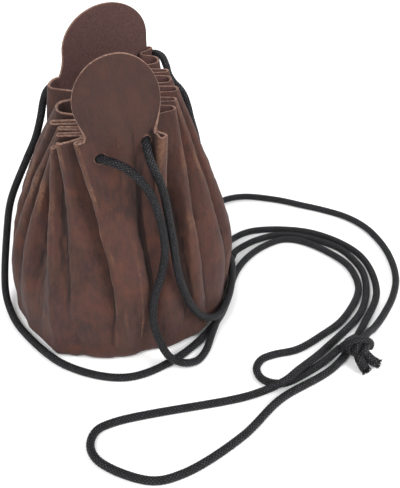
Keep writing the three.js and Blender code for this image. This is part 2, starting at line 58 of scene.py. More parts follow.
# The route of each stretch of the cord: x, y and height in metres.
ROUTES: dict[str, list[tuple[float, float, float]]] = {
    "cord_front_left": [
        (-0.0068, -0.0265, 0.0994), (-0.0047, -0.0312, 0.1006), (-0.0025, -0.0356, 0.1017),
        (0.001, -0.0391, 0.1027), (0.0057, -0.042, 0.1029), (0.0111, -0.0438, 0.1008),
        (0.0159, -0.0442, 0.0958), (0.0201, -0.0436, 0.0878), (0.0229, -0.0436, 0.0778),
        (0.0246, -0.0446, 0.0687), (0.0251, -0.0468, 0.059), (0.0231, -0.0498, 0.0483),
        (0.02, -0.0526, 0.038), (0.0191, -0.0546, 0.026), (0.0217, -0.0566, 0.0146),
        (0.0265, -0.0598, 0.0072), (0.0331, -0.0608, 0.0044), (0.0393, -0.0574, 0.0024),
        (0.0435, -0.0504, 0.002), (0.0463, -0.0418, 0.0038), (0.0493, -0.033, 0.0058),
        (0.0541, -0.02, 0.006), (0.0573, -0.006, 0.0062), (0.0577, 0.005, 0.0056),
        (0.0573, 0.0116, 0.0036), (0.0576, 0.0172, 0.0022), (0.0589, 0.0218, 0.0019),
    ],
    "cord_front_loop": [
        (0.0589, 0.0218, 0.0019), (0.0606, 0.0264, 0.0019), (0.0741, 0.0376, 0.0019),
        (0.0902, 0.0421, 0.0019), (0.1175, 0.0313, 0.0019), (0.1261, 0.0195, 0.0019),
        (0.1299, 0.0053, 0.0019), (0.1245, -0.0208, 0.0019), (0.1009, -0.0506, 0.0028),
        (0.0861, -0.0672, 0.0062), (0.0793, -0.0732, 0.0056), (0.0637, -0.079, 0.0026),
        (0.0033, -0.0936, 0.0019), (-0.0045, -0.0986, 0.0019), (-0.0061, -0.1062, 0.0019),
        (-0.0017, -0.114, 0.0019), (0.0205, -0.1234, 0.0019), (0.0341, -0.1199, 0.0019),
        (0.0591, -0.1012, 0.0019), (0.0771, -0.0808, 0.0019), (0.1043, -0.061, 0.0019),
        (0.1227, -0.033, 0.0019), (0.1344, -0.0062, 0.0019), (0.1297, 0.0246, 0.0019),
        (0.1053, 0.0444, 0.0019), (0.0727, 0.0462, 0.0019), (0.0601, 0.0384, 0.0021),
        (0.0546, 0.0258, 0.0054), (0.0578, 0.0065, 0.0103), (0.0553, -0.0201, 0.0104),
        (0.0489, -0.035, 0.0105), (0.0407, -0.0424, 0.018), (0.0319, -0.0476, 0.0428),
        (0.0278, -0.0416, 0.0687), (0.0243, -0.0394, 0.09), (0.0213, -0.0396, 0.0986),
        (0.0193, -0.0377, 0.104), (0.0183, -0.034, 0.1069), (0.0178, -0.03, 0.1077),
        (0.0175, -0.0264, 0.107),
    ],
    "cord_rear_left": [
        (-0.0155, 0.0254, 0.0956), (-0.0175, 0.03, 0.0968), (-0.0211, 0.033, 0.0988),
        (-0.0257, 0.0333, 0.101), (-0.0303, 0.0308, 0.1025), (-0.0331, 0.0256, 0.1022),
        (-0.0343, 0.0194, 0.0996), (-0.0357, 0.0146, 0.0932), (-0.0389, 0.0112, 0.0838),
        (-0.0439, 0.0088, 0.074), (-0.0535, 0.0028, 0.054), (-0.0569, -0.002, 0.039),
        (-0.0603, -0.0134, 0.0084), (-0.0565, -0.023, 0.0028), (-0.0477, -0.037, 0.0019),
        (-0.0225, -0.0604, 0.0019), (0.0069, -0.0676, 0.0019), (0.0301, -0.0548, 0.0019),
        (0.0489, -0.0304, 0.0019), (0.0553, -0.013, 0.0019), (0.0587, 0.0035, 0.0019),
        (0.0651, 0.018, 0.0019), (0.0759, 0.0304, 0.0019), (0.0893, 0.0377, 0.0019),
        (0.1019, 0.0346, 0.0019), (0.1207, 0.0172, 0.0019), (0.1249, 0.0052, 0.0019),
        (0.1245, -0.0076, 0.0019), (0.1131, -0.0288, 0.0019), (0.1017, -0.0396, 0.0019),
        (0.0877, -0.0498, 0.0019), (0.0761, -0.0532, 0.0019), (0.0701, -0.0564, 0.0019),
        (0.0673, -0.0622, 0.0019), (0.0689, -0.0678, 0.0019), (0.0737, -0.071, 0.0019),
        (0.0801, -0.071, 0.0019), (0.0927, -0.0634, 0.0019), (0.1021, -0.0562, 0.0028),
        (0.1083, -0.0524, 0.0066),
    ],
    "cord_rear_right": [
        (0.0091, 0.0382, 0.0998), (0.0069, 0.0409, 0.1016), (0.0056, 0.0446, 0.1034),
        (0.0063, 0.0488, 0.1052), (0.0091, 0.0522, 0.1068), (0.0137, 0.0539, 0.1082),
        (0.0179, 0.0529, 0.1091), (0.0213, 0.05, 0.1088), (0.0236, 0.045, 0.1065),
        (0.0251, 0.0406, 0.1034), (0.0275, 0.0364, 0.1012), (0.0303, 0.0322, 0.1002),
        (0.0327, 0.0278, 0.0986), (0.0345, 0.0248, 0.0948), (0.0357, 0.0236, 0.0898),
        (0.0367, 0.0244, 0.085), (0.0381, 0.028, 0.0776), (0.0395, 0.0346, 0.0658),
        (0.0409, 0.0406, 0.05), (0.0423, 0.046, 0.033), (0.0433, 0.052, 0.018),
        (0.0451, 0.0606, 0.0076), (0.0489, 0.0704, 0.0026), (0.0565, 0.0782, 0.0019),
        (0.0683, 0.0816, 0.0019), (0.089, 0.0779, 0.0019), (0.1027, 0.0725, 0.0019),
        (0.1167, 0.0667, 0.0019), (0.1284, 0.06, 0.0019), (0.1377, 0.0502, 0.0019),
        (0.1443, 0.0355, 0.0019), (0.1473, 0.0191, 0.0019), (0.1465, 0.0025, 0.0019),
        (0.1419, -0.0117, 0.0019), (0.1351, -0.0244, 0.0019), (0.1275, -0.0362, 0.0034),
        (0.1227, -0.0432, 0.0066), (0.1189, -0.0489, 0.0082),
    ],
    "cord_left_run": [
        (-0.0068, -0.0265, 0.0994), (-0.0103, -0.0196, 0.098), (-0.0127, -0.01, 0.0968),
        (-0.0137, 0.0, 0.096), (-0.0139, 0.01, 0.0954), (-0.0137, 0.0176, 0.095),
        (-0.0143, 0.0216, 0.095), (-0.0155, 0.0254, 0.0956),
    ],
    "cord_right_run": [
        (0.0175, -0.0264, 0.107), (0.0177, -0.023, 0.1054), (0.0197, -0.017, 0.1016),
        (0.0221, -0.0104, 0.0988), (0.0237, -0.003, 0.0974), (0.0243, 0.006, 0.0968),
        (0.0241, 0.015, 0.0964), (0.0227, 0.0235, 0.0962), (0.0195, 0.0305, 0.0966),
        (0.0143, 0.0354, 0.0974), (0.0115, 0.0366, 0.0984), (0.0091, 0.0382, 0.0998),
    ],
    "cord_tail_1": [
        (0.1196, -0.0567, 0.0054), (0.1225, -0.0584, 0.0034), (0.1265, -0.06, 0.002),
    ],
    "cord_tail_2": [
        (0.116, -0.0593, 0.0056), (0.1175, -0.0618, 0.0034), (0.1195, -0.065, 0.00195),
    ],
}

# Stretches of the cord that go through the hide: its name, and its first and last point.
THREADED: list[tuple[str, int | None, int | None]] = [
    ("cord_front_left", None, 5),
    ("cord_front_loop", -6, None),
    ("cord_rear_left", None, 4),
    ("cord_rear_right", None, 5),
    ("cord_right_run", None, None),
]

# Every fold of the wall, counter-clockwise seen from above, from the front panel's left edge:
# name | base: angle, offset | belly: angle, offset, half width | waist: angle, offset, half
# width | rim: x, y, height, half width. Angles in degrees, the rest in millimetres.
BENDS: list[tuple] = [
    ("front_left_edge", -84, 0.4, -86.5, 1.2, 1.5, -97.5, 2.0, 1.2, -8.3, -38.7, 110, 1.2),
    ("front_panel", -78.5, -0.6, -79.5, 1.2, 3.0, -87, 2.4, 3.5, 3.0, -35.4, 111, 5.0),
    ("front_crease_edge", -74.5, -1.7, -73.5, 0.8, 1.6, -76.5, 1.2, 1.6, 12.5, -34.2, 111, 3.0),
    ("front_crease", -70.5, -1.6, -70, -1.8, 1.2, -72.5, -3.0, 1.2, 18.0, -32.4, 111, 1.5),
    ("front_dent", -65, -0.6, -65, -0.4, 2.5, -65, -0.4, 1.6, 23.0, -30.0, 111, 1.3),
    ("roll", -57, 0.4, -57.5, 0.6, 4.0, -57, 1.2, 3.0, 28.2, -33.2, 110, 2.3),
    ("roll_valley", -50, 0.6, -50.5, -1.6, 1.6, -48.5, -6.0, 1.4, 14.5, -20.5, 110, 1.6),
    ("right_1", -42, 1.4, -44, 1.4, 2.2, -37.5, 1.8, 1.6, 31.8, -7.2, 110, 1.9),
    ("right_1_valley", -37, 0.6, -39, -2.4, 1.3, -31, -6.5, 1.3, 12.5, -3.2, 110, 1.3),
    ("right_2", -23, 1.2, -23.5, 1.8, 3.6, -18, 2.0, 2.0, 32.0, 0.7, 110, 1.7),
    ("right_2_valley", -11, 0, -11, -2.4, 1.6, -8, -7.0, 1.4, 11.5, 4.9, 110, 1.3),
    ("right_3", 2, 0.8, 1, 1.6, 5.0, 1, 1.8, 2.2, 32.6, 10.2, 110.5, 2.6),
    ("right_3_valley", 13, 0, 12, -2.4, 1.6, 10, -7.0, 1.4, 11.0, 15.2, 110, 1.3),
    ("right_4", 24, 0.8, 23, 1.6, 5.0, 19, 1.8, 2.4, 29.2, 21.2, 110, 3.6),
    ("right_4_valley", 35, 0, 34, -2.4, 1.6, 28, -7.0, 1.4, 10.5, 26.6, 110, 1.3),
    ("right_5", 46, 0.8, 45, 1.6, 5.0, 37, 1.8, 2.0, 27.4, 30.4, 110, 1.5),
    ("right_5_valley", 57, 0, 56, -2.4, 1.6, 46, -7.0, 1.4, 10.0, 34.2, 110, 1.3),
    ("right_6", 68, 0.8, 67, 1.6, 5.0, 58, 1.8, 2.6, 22.4, 40.6, 111, 4.0),
    ("right_6_valley", 78, 0, 77, -2.0, 1.6, 69, -5.5, 1.3, 13.6, 45.4, 112, 1.2),
    ("rear_right_edge", 88, 0.8, 87, 1.4, 4.0, 79, 1.6, 2.0, 18.2, 51.4, 113, 1.6),
    ("rear_panel_1", 97, 0.4, 97, 0.4, 3.0, 90, 0.6, 3.0, 7.0, 43.6, 112, 3.5),
    ("rear_crease", 107, -0.6, 107, -2.0, 1.6, 103, -3.0, 1.6, -3.4, 37.0, 111, 3.0),
    ("rear_panel_2", 119, 0.6, 119, 1.4, 5.0, 116, 1.6, 3.6, -13.4, 30.6, 111, 3.0),
    ("rear_left_edge", 133, 0, 133, -2.2, 1.6, 135, -4.5, 1.6, -21.6, 24.2, 110.5, 1.4),
    ("left_1", 145, 0.8, 145, 1.6, 5.0, 151, 1.8, 3.0, -27.2, 15.6, 110.5, 4.6),
    ("left_1_valley", 157, 0, 157, -2.4, 1.6, 165, -7.0, 1.5, -6.0, 3.2, 111, 1.7),
    ("left_2", 167, 0.8, 167, 1.6, 4.0, 179, 1.8, 2.4, -20.4, -8.6, 111, 5.2),
    ("left_2_valley", 175, 0, 175, -2.4, 1.5, -174, -7.0, 1.4, -5.0, -17.6, 110.5, 1.3),
    ("left_3", -177, 0.8, -177, 1.4, 2.6, -167, 1.8, 1.5, -20.8, -21.6, 110.5, 1.5),
    ("left_3_valley", -169, 0, -169, -2.4, 1.4, -160, -6.0, 1.3, -4.6, -24.0, 110.5, 1.3),
    ("left_4", -161, 0.8, -161, 1.6, 2.8, -153, 1.8, 1.5, -16.6, -26.5, 110.5, 1.2),
    ("left_4_valley", -151, 0.4, -151.5, -2.2, 1.4, -147, -5.5, 1.2, -5.4, -28.0, 110, 1.0),
    ("left_5", -143, 1.0, -144, 1.6, 2.2, -142, 1.8, 1.4, -16.6, -30.3, 109.5, 1.2),
    ("left_5_valley", -130, 1.8, -132, -2.2, 1.5, -135.5, -5.5, 1.2, -6.4, -31.8, 109.5, 1.0),
    ("left_6", -116, 4.4, -121, 2.4, 1.5, -130, 2.2, 1.3, -18.8, -34.4, 105.5, 1.2),
    ("left_6_dip", -111, 3.0, -113, 0.6, 2.0, -122.5, -2.2, 1.5, -13.0, -35.6, 108.5, 0.9),
    ("left_swell", -103, 1.2, -105.5, 1.8, 3.5, -116.5, 0.8, 2.0, -15.4, -38.5, 110, 1.0),
    ("front_left_valley", -90, 0.6, -88, -3.0, 1.1, -99.5, -5.5, 1.1, -3.8, -33.6, 109.5, 1.0),
]

# Name of the fold before and after each tab, the middle of the tab as a share of the way
# between them, its reach left and right, the height where it is widest, its rise above that,
# and how far its neck draws in at the left and right.
TABS: list[tuple] = [
    ("front_left_edge", "front_dent", 0.555, 19.0, 16.6, 127, 20.5, 7, 2),
    ("rear_right_edge", "rear_left_edge", 0.48, 23.5, 22.5, 121, 19, 0.5, 0.5),
]

# Ring of each level: height, x, y and radius in millimetres.
BASE_RING = (4.65, 1.5, 0.0, 54.5)
BELLY_RING = (36.0, 3.1, 0.0, 53.2)
WAIST_RING = (76.0, 4.0, 1.5, 40.6)
RIM_HEIGHT = 111.0


class Slot(Enum):
    """Material slots of the frame's record."""

    LEATHER = "leather"
    CORD = "cord"


class FarEnd(Enum):
    """What a stretch of the drawcord ends in."""

    OBJECT = "object"
    KNOT = "knot"
    HELD = "held"


def paint(red: float, green: float, blue: float) -> tuple[float, float, float, float]:
    """Turns a colour as a paint card gives it into the linear colour that a shader takes.

    Args:
        red: Amount of red, from 0 to 255.
        green: Amount of green, from 0 to 255.
        blue: Amount of blue, from 0 to 255.

    Returns:
        The linear colour with full alpha.
    """
    def linear(level: float) -> float:
        """Undoes the display curve for one channel."""
        share = level / 255
        return share / 12.92 if share <= 0.04045 else ((share + 0.055) / 1.055) ** 2.4

    return linear(red), linear(green), linear(blue), 1.0


def add_piece(name: str, points: np.ndarray, faces: list) -> bpy.types.Object:
    """Makes a smooth mesh piece that rides on the pouch.

    Args:
        name: Name of the piece.
        points: Corners of the mesh in metres, one row each.
        faces: Corner numbers of each face, counter-clockwise seen from outside.

    Returns:
        The new object, at the origin.
    """
    mesh = bpy.data.meshes.new(name)
    mesh.from_pydata(points.tolist(), [], faces)
    mesh.update()
    mesh.shade_smooth()
    piece = bpy.data.objects.new(name, mesh)
    bpy.context.scene.collection.objects.link(piece)
    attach(piece, "root")
    return piece


def report_piece(piece: bpy.types.Object) -> None:
    """Reports a finished piece and its size in triangles."""
    piece.data.calc_loop_triangles()
    LOG.info("%s: %d triangles", piece.name, len(piece.data.loop_triangles))


def float_attribute(piece: bpy.types.Object, name: str, values: np.ndarray) -> None:
    """Writes one number for each corner point of a mesh.

    Args:
        piece: The mesh piece.
        name: Name of the attribute.
        values: One value for each point.
    """
    store = piece.data.attributes.new(name, "FLOAT", "POINT")
    store.data.foreach_set("value", values.astype(np.float32))


# ------------------------------------------------------------------------------ shader wiring


class Wiring:
    """Adds nodes to one node tree and joins them."""

    def __init__(self, tree: bpy.types.NodeTree) -> None:
        """Keeps the tree that the nodes go into."""
        self.tree = tree

    def feed(self, socket: bpy.types.NodeSocket, value: object) -> None:
        """Joins a socket to another, or sets it to a plain value."""
        if isinstance(value, bpy.types.NodeSocket):
            self.tree.links.new(value, socket)
        else:
            socket.default_value = value

    def add(self, kind: str, feeds: dict | None = None, **settings: object) -> bpy.types.Node:
        """Adds a node.

        Args:
            kind: Kind of node, such as Math.
            feeds: Value or socket for each input, by its name or number.
            settings: The node's own settings.

        Returns:
            The node.
        """
        node = self.tree.nodes.new("ShaderNode" + kind)
        for setting, value in settings.items():
            setattr(node, setting, value)
        for socket, value in (feeds or {}).items():
            self.feed(node.inputs[socket], value)
        return node

    def maths(self, operation: str, first: object, second: object = 0.0,
              clamp: bool = False) -> bpy.types.NodeSocket:
        """Adds a Math node.

        Args:
            operation: The sum it does, such as MULTIPLY.
            first: First value or socket.
            second: Second value or socket.
            clamp: Whether the result stays from 0 to 1.

        Returns:
            The result's socket.
        """
        feeds = {0: first, 1: second}
        return self.add("Math", feeds, operation=operation, use_clamp=clamp).outputs[0]

    def times(self, first: object, second: object) -> bpy.types.NodeSocket:
        """Multiplies two values or sockets."""
        return self.maths("MULTIPLY", first, second)

    def varied(self, base: float, grain: object, middle: float, spread: float) -> object:
        """Varies a plain value with a grain.

        Args:
            base: The plain value.
            grain: Socket of the grain.
            middle: Grain at which the value stays plain.
            spread: Change of the value for one unit of grain.

        Returns:
            The varied value's socket.
        """
        return self.maths("ADD", self.times(self.maths("SUBTRACT", grain, middle), spread), base)

    def between(self, value: object, low: float, high: float) -> bpy.types.NodeSocket:
        """Rises smoothly from 0 to 1 as a value goes from low to high.

        Args:
            value: The value or socket.
            low: Where the result leaves 0.
            high: Where the result reaches 1. It may be below low.

        Returns:
            The result's socket.
        """
        ends = (1.0, 0.0) if high < low else (0.0, 1.0)
        feeds = {"Value": value, "From Min": min(low, high), "From Max": max(low, high),
                 "To Min": ends[0], "To Max": ends[1]}
        return self.add("MapRange", feeds, interpolation_type="SMOOTHSTEP").outputs["Result"]

    def mix(self, share: object, first: object, second: object) -> bpy.types.NodeSocket:
        """Mixes two colours.

        Args:
            share: How much of the second colour shows.
            first: First colour or socket.
            second: Second colour or socket.

        Returns:
            The mixed colour's socket.
        """
        return self.add("Mix", {0: share, 6: first, 7: second}, data_type="RGBA").outputs[2]

    def tint(self, colour: object, mask: object, strength: float, other: object) -> object:
        """Lays another colour over a colour where a mask shows.

        Args:
            colour: Colour below.
            mask: Where the other colour shows, from 0 to 1.
            strength: How much of it shows there.
            other: Colour above.

        Returns:
            The mixed colour's socket.
        """
        return self.mix(self.times(mask, strength), colour, other)

    def clouds(self, place: object, scale: object, detail: float = 2.0,
               rough: float = 0.5, warp: float = 0.0) -> bpy.types.NodeSocket:
        """Adds a noise texture and gives its value.

        Args:
            place: Socket of the coordinates.
            scale: Waves for each unit of the coordinates.
            detail: Number of finer layers.
            rough: Strength of the finer layers.
            warp: How much the noise is pulled about.

        Returns:
            The noise's socket, around 0.5.
        """
        feeds = {"Vector": place, "Scale": scale, "Detail": detail, "Roughness": rough,
                 "Distortion": warp}
        return self.add("TexNoise", feeds).outputs["Fac"]

    def stretched(self, place: object, scale: tuple, offset: tuple = (0, 0, 0)) -> object:
        """Scales and shifts coordinates, so that a pattern runs longer one way."""
        feeds = {"Vector": place, "Scale": scale, "Location": offset}
        return self.add("Mapping", feeds).outputs["Vector"]

    def attribute(self, name: str) -> bpy.types.NodeSocket:
        """Reads one number of a mesh's own attribute."""
        return self.add("Attribute", attribute_name=name).outputs["Fac"]

    def relief(self, height: object, depth: float, strength: float,
               below: object = None) -> bpy.types.NodeSocket:
        """Adds a bump of a real depth.

        Args:
            height: Socket of the height, from 0 to 1.
            depth: Depth of the full height in metres.
            strength: Strength of the bump, from 0 to 1.
            below: Normal of a coarser bump under this one.

        Returns:
            The normal's socket.
        """
        feeds = {"Strength": strength, "Distance": depth, "Height": height}
        if below is not None:
            feeds["Normal"] = below
        return self.add("Bump", feeds).outputs["Normal"]

    def effect(self, group: bpy.types.NodeTree, **values: object) -> bpy.types.Node:
        """Places a shared effect.

        Args:
            group: Node group of the effect.
            values: Value or socket of each input, by its name in small letters.

        Returns:
            The group node.
        """
        feeds = {name.capitalize(): value for name, value in values.items()}
        return self.add("Group", feeds, node_tree=group)


def new_effect(name: str, inputs: list[tuple], outputs: list[tuple]) -> tuple:
    """Starts a shared effect.

    Args:
        name: Name of the node group.
        inputs: Name, socket type and default value of each input.
        outputs: Name and socket type of each output.

    Returns:
        The group, its wiring, its input node and its output node.
    """
    group = bpy.data.node_groups.new(name, "ShaderNodeTree")
    for label, kind, value in inputs:
        socket = group.interface.new_socket(name=label, in_out="INPUT", socket_type=kind)
        if value is not None:
            socket.default_value = value
    for label, kind in outputs:
        group.interface.new_socket(name=label, in_out="OUTPUT", socket_type=kind)
    given, made = (group.nodes.new(kind) for kind in ("NodeGroupInput", "NodeGroupOutput"))
    return group, Wiring(group), given, made


FLOAT = "NodeSocketFloat"
VECTOR = "NodeSocketVector"


def make_flecks() -> bpy.types.NodeTree:
    """Builds the shared effect of small scattered flecks.

    Returns:
        The node group. Its mask is 1 on a fleck and 0 elsewhere.
    """
    group, wiring, given, made = new_effect(
        "scattered_flecks",
        [("Place", VECTOR, None), ("Scale", FLOAT, 1.0), ("Share", FLOAT, 0.5),
         ("Softness", FLOAT, 0.1)],
        [("Mask", FLOAT)])
    value = wiring.clouds(given.outputs["Place"], given.outputs["Scale"], detail=3.0, rough=0.65)
    above = wiring.maths("SUBTRACT", value, given.outputs["Share"])
    mask = wiring.maths("DIVIDE", above, given.outputs["Softness"], clamp=True)
    wiring.feed(made.inputs["Mask"], mask)
    return group


def make_grain() -> bpy.types.NodeTree:
    """Builds the shared effect of a fine surface grain, for hide and yarn.

    Returns:
        The node group. Its height varies about 0.5.
    """
    group, wiring, given, made = new_effect(
        "fine_grain",
        [("Place", VECTOR, None), ("Scale", FLOAT, 1.0), ("Pits", FLOAT, 0.5)],
        [("Height", FLOAT)])
    nap = wiring.clouds(given.outputs["Place"], given.outputs["Scale"], detail=4.0, rough=0.7)
    feeds = {name: given.outputs[source] for name, source in (("Vector", "Place"), ("Scale", "Scale"))}
    cells = wiring.add("TexVoronoi", feeds)
    pits = wiring.times(cells.outputs["Distance"], given.outputs["Pits"])
    wiring.feed(made.inputs["Height"], wiring.maths("ADD", nap, pits))
    return group


def make_braid() -> bpy.types.NodeTree:
    """Builds the shared effect of a round braid from the cord's own map.

    The map's first number goes once round the cord, and its second counts the yarns' turns
    along it. One set of yarns climbs to the right and the other to the left.

    Returns:
        The node group, with the height of the braid, the fine filaments along each yarn and a
        number that differs from stitch to stitch.
    """
    group, wiring, given, made = new_effect(
        "round_braid",
        [("Map", VECTOR, None), ("Yarns", FLOAT, 8.0), ("Filaments", FLOAT, 5.0)],
        [("Height", FLOAT), ("Filament", FLOAT), ("Stitch", FLOAT)])
    parts = wiring.add("SeparateXYZ", {0: given.outputs["Map"]})
    numbers, arches, lines = [], [], []
    for operation in ("ADD", "SUBTRACT"):
        turned = wiring.maths(operation, parts.outputs[0], parts.outputs[1])
        place = wiring.times(turned, given.outputs["Yarns"])
        number = wiring.maths("ROUND", place)
        off = wiring.maths("SUBTRACT", place, number)
        numbers.append(number)
        arches.append(wiring.maths("COSINE", wiring.times(off, math.pi)))
        turns = wiring.times(place, given.outputs["Filaments"])
        lines.append(wiring.maths("SINE", wiring.times(turns, 2 * math.pi)))
    both = wiring.maths("ADD", *numbers)
    over = wiring.maths("COSINE", wiring.times(both, math.pi))
    heights = []
    for arch, other, lift in ((arches[0], arches[1], CROSS_LIFT), (arches[1], arches[0], -CROSS_LIFT)):
        lifted = wiring.times(wiring.times(other, over), lift)
        heights.append(wiring.times(arch, wiring.maths("ADD", lifted, 1 - CROSS_LIFT)))
    wiring.feed(made.inputs["Height"], wiring.maths("MAXIMUM", *heights))
    upper = wiring.maths("GREATER_THAN", *heights)
    first = wiring.times(lines[0], upper)
    second = wiring.times(lines[1], wiring.maths("SUBTRACT", 1.0, upper))
    wave = wiring.times(wiring.maths("ADD", first, second), 0.5)
    wiring.feed(made.inputs["Filament"], wiring.maths("ADD", wave, 0.5))
    # The usual sine hash: one even number from the numbers of the two yarns that cross.
    spread = wiring.maths("MULTIPLY_ADD", numbers[0], 12.9898)
    wiring.feed(spread.node.inputs[2], wiring.times(numbers[1], 78.233))
    scatter = wiring.times(wiring.maths("SINE", spread), 43758.5)
    wiring.feed(made.inputs["Stitch"], wiring.maths("FRACT", scatter))
    return group


def new_finish(name: str, gloss: float) -> tuple:
    """Starts a finish.

    Args:
        name: Name of the material.
        gloss: Specular level of its shader.

    Returns:
        The material, its wiring and its shader node.
    """
    material = bpy.data.materials.new(name)
    material.use_nodes = True
    shader = material.node_tree.nodes["Principled BSDF"]
    shader.inputs["Specular IOR Level"].default_value = gloss
    return material, Wiring(material.node_tree), shader


@dataclass(frozen=True)
class Patches:
    """Cloudy patches of one colour on the hide, with the noise that shapes them."""

    colour: tuple
    strength: float
    scale: float
    low: float
    high: float
    detail: float
    rough: float = 0.5
    warp: float = 0.0
    offset: tuple | None = None

    def lay(self, wiring: Wiring, place: object, colour: object) -> object:
        """Lays the patches over a colour.

        Args:
            wiring: Wiring of the material.
            place: Coordinates in millimetres.
            colour: Colour so far.

        Returns:
            The colour's socket.
        """
        if self.offset:
            place = wiring.stretched(place, (1, 1, 1), self.offset)
        cloud = wiring.clouds(place, self.scale, self.detail, self.rough, self.warp)
        mask = wiring.between(cloud, self.low, self.high)
        return wiring.tint(colour, mask, self.strength, self.colour)


@dataclass
class HideSurface:
    """What the layers of the hide's finish share."""

    wiring: Wiring
    flecks: bpy.types.NodeTree
    place: object  # coordinates in millimetres
    upright: object  # the same, stretched along the height
    height: object

    def flecked(self, scale: float, share: float, softness: float) -> bpy.types.NodeSocket:
        """Scatters flecks over the hide and gives their mask."""
        flecks = self.wiring.effect(self.flecks, place=self.place, scale=scale, share=share,
                                    softness=softness)
        return flecks.outputs["Mask"]


@dataclass(frozen=True)
class NubuckFinish:
    """Oiled brown nubuck: brushed grain side, fibrous flesh side and raw cut edges."""

    brown: tuple = paint(66, 43, 37)
    dark: tuple = paint(49, 32, 29)
    orange: tuple = paint(86, 50, 38)
    purple: tuple = paint(56, 36, 38)
    tan: tuple = paint(124, 90, 68)
    # colour of the painted shade in the fold valleys and of the painted contact shadow along the foot
    painted_shade: tuple = paint(26, 17, 15)
    edge: tuple = paint(129, 101, 88)
    edge_dark: tuple = paint(96, 68, 57)
    flesh: tuple = paint(66, 43, 40)
    flesh_pale: tuple = paint(94, 68, 62)
    flesh_dark: tuple = paint(44, 30, 30)
    roughness: float = 0.8
    sheen: float = 0.06
    sheen_roughness: float = 0.5
    gloss: float = 0.25
    darker_from: float = 88  # height in millimetres from which the hide grows darker towards the top
    darkest_from: float = 118
    crease_depth: float = 0.9 * MM
    nap_depth: float = 0.16 * MM

    def build(self, flecks: bpy.types.NodeTree, grain: bpy.types.NodeTree) -> bpy.types.Material:
        """Builds the material.

        Args:
            flecks: Shared effect of scattered flecks.
            grain: Shared effect of a fine grain.

        Returns:
            The material.
        """
        material, wiring, shader = new_finish("oiled_nubuck", self.gloss)
        coords = wiring.add("TexCoord").outputs["Object"]
        place = wiring.stretched(coords, (1 / MM,) * 3)
        upright = wiring.stretched(coords, (1 / MM, 1 / MM, 0.3 / MM), (7, 3, 5))
        height = wiring.add("SeparateXYZ", {0: place}).outputs["Z"]
        surface = HideSurface(wiring, flecks, place, upright, height)
        colour = self.grain_side(surface)
        for layer in (self.fold_wear_highlight_and_shade, self.flesh_side, self.raw_edges):
            colour = layer(surface, colour)
        wiring.feed(shader.inputs["Base Color"], colour)

        nap = wiring.effect(grain, place=place, scale=1.6, pits=0.6).outputs["Height"]
        dull = wiring.varied(self.roughness, nap, 0.6, 0.25)
        wiring.feed(shader.inputs["Roughness"], dull)
        creases = wiring.clouds(upright, 0.5, detail=3.0, rough=0.6, warp=0.4)
        normal = wiring.relief(creases, self.crease_depth, 0.5)
        normal = wiring.relief(nap, self.nap_depth, 0.55, normal)
        wiring.feed(shader.inputs["Normal"], normal)
        shader.inputs["Sheen Weight"].default_value = self.sheen
        shader.inputs["Sheen Roughness"].default_value = self.sheen_roughness
        return material

    def grain_side(self, surface: HideSurface) -> bpy.types.NodeSocket:
        """Mottles the brushed side with darker, orange and purple patches.

        Args:
            surface: What the layers share.

        Returns:
            The colour's socket.
        """
        wiring, place, upright = surface.wiring, surface.place, surface.upright
        broad = wiring.clouds(place, 0.06, detail=2.5, warp=0.6)
        colour = wiring.mix(wiring.between(broad, 0.26, 0.66), self.dark, self.brown)
        warm = Patches(self.orange, 0.55, scale=0.06, low=0.48, high=0.74, detail=3.0, warp=0.8,
                       offset=(31, 17, 5))
        cool = Patches(self.purple, 0.6, scale=0.07, low=0.48, high=0.7, detail=2.5, warp=0.5,
                       offset=(3, 47, 29))
        streaks = Patches(self.orange, 0.3, scale=0.4, low=0.42, high=0.62, detail=4.0, rough=0.65)
        rubs = Patches(self.dark, 0.16, scale=0.7, low=0.56, high=0.7, detail=4.0, rough=0.7,
                       warp=0.6)
        fine = Patches(self.dark, 0.2, scale=0.9, low=0.45, high=0.65, detail=4.0, rough=0.75)
        for patches, coords in ((warm, place), (cool, place), (streaks, upright), (rubs, upright)):
            colour = patches.lay(wiring, coords, colour)
        # The hide's colour grows darker towards the top, over the tabs.
        handled = wiring.between(surface.height, self.darker_from, self.darkest_from)
        colour = wiring.tint(colour, handled, 0.5, self.dark)
        return fine.lay(wiring, place, colour)

    def fold_wear_highlight_and_shade(self, surface: HideSurface, colour: object) -> bpy.types.NodeSocket:
        """Paints shade into the valleys of the folds and a contact shadow along the foot where it
        meets the floor, and rubs the ridges to tan, partly as wear and partly as painted highlight.

        Args:
            surface: What the layers share.
            colour: Colour so far.

        Returns:
            The colour's socket.
        """
        wiring = surface.wiring
        fold = wiring.attribute("fold")
        # Painted shade: the valleys of the folds darken, and a painted contact shadow runs along the
        # foot where the hide meets the floor.
        valley = wiring.times(wiring.between(fold, -0.04, -0.42), 0.8)
        valley = wiring.times(valley, wiring.between(surface.height, 4, 26))
        foot = wiring.between(surface.height, 1.5, 0.5)
        colour = wiring.mix(wiring.maths("MAXIMUM", valley, foot), colour, self.painted_shade)
        # Tan along the ridges of the folds: partly real wear, partly a painted highlight on the fold
        # edges.
        patchy = wiring.between(wiring.clouds(surface.place, 0.05), 0.38, 0.62)
        ridge = wiring.times(wiring.between(fold, 0.3, 0.95), patchy)
        ridge = wiring.times(ridge, surface.flecked(scale=0.9, share=0.3, softness=0.35))
        colour = wiring.tint(colour, ridge, 0.6, self.tan)
        scuffs = surface.flecked(scale=0.35, share=0.68, softness=0.1)
        return wiring.tint(colour, scuffs, 0.2, self.tan)

    def flesh_side(self, surface: HideSurface, colour: object) -> bpy.types.NodeSocket:
        """Lays the speckled flesh side over the inner faces.

        Args:
            surface: What the layers share.
            colour: Colour so far.

        Returns:
            The colour's socket.
        """
        wiring = surface.wiring
        pale = surface.flecked(scale=1.4, share=0.5, softness=0.2)
        fibres = wiring.tint(self.flesh, pale, 0.5, self.flesh_pale)
        dark = surface.flecked(scale=0.9, share=0.52, softness=0.15)
        fibres = wiring.tint(fibres, dark, 0.5, self.flesh_dark)
        return wiring.mix(wiring.attribute("inside"), colour, fibres)

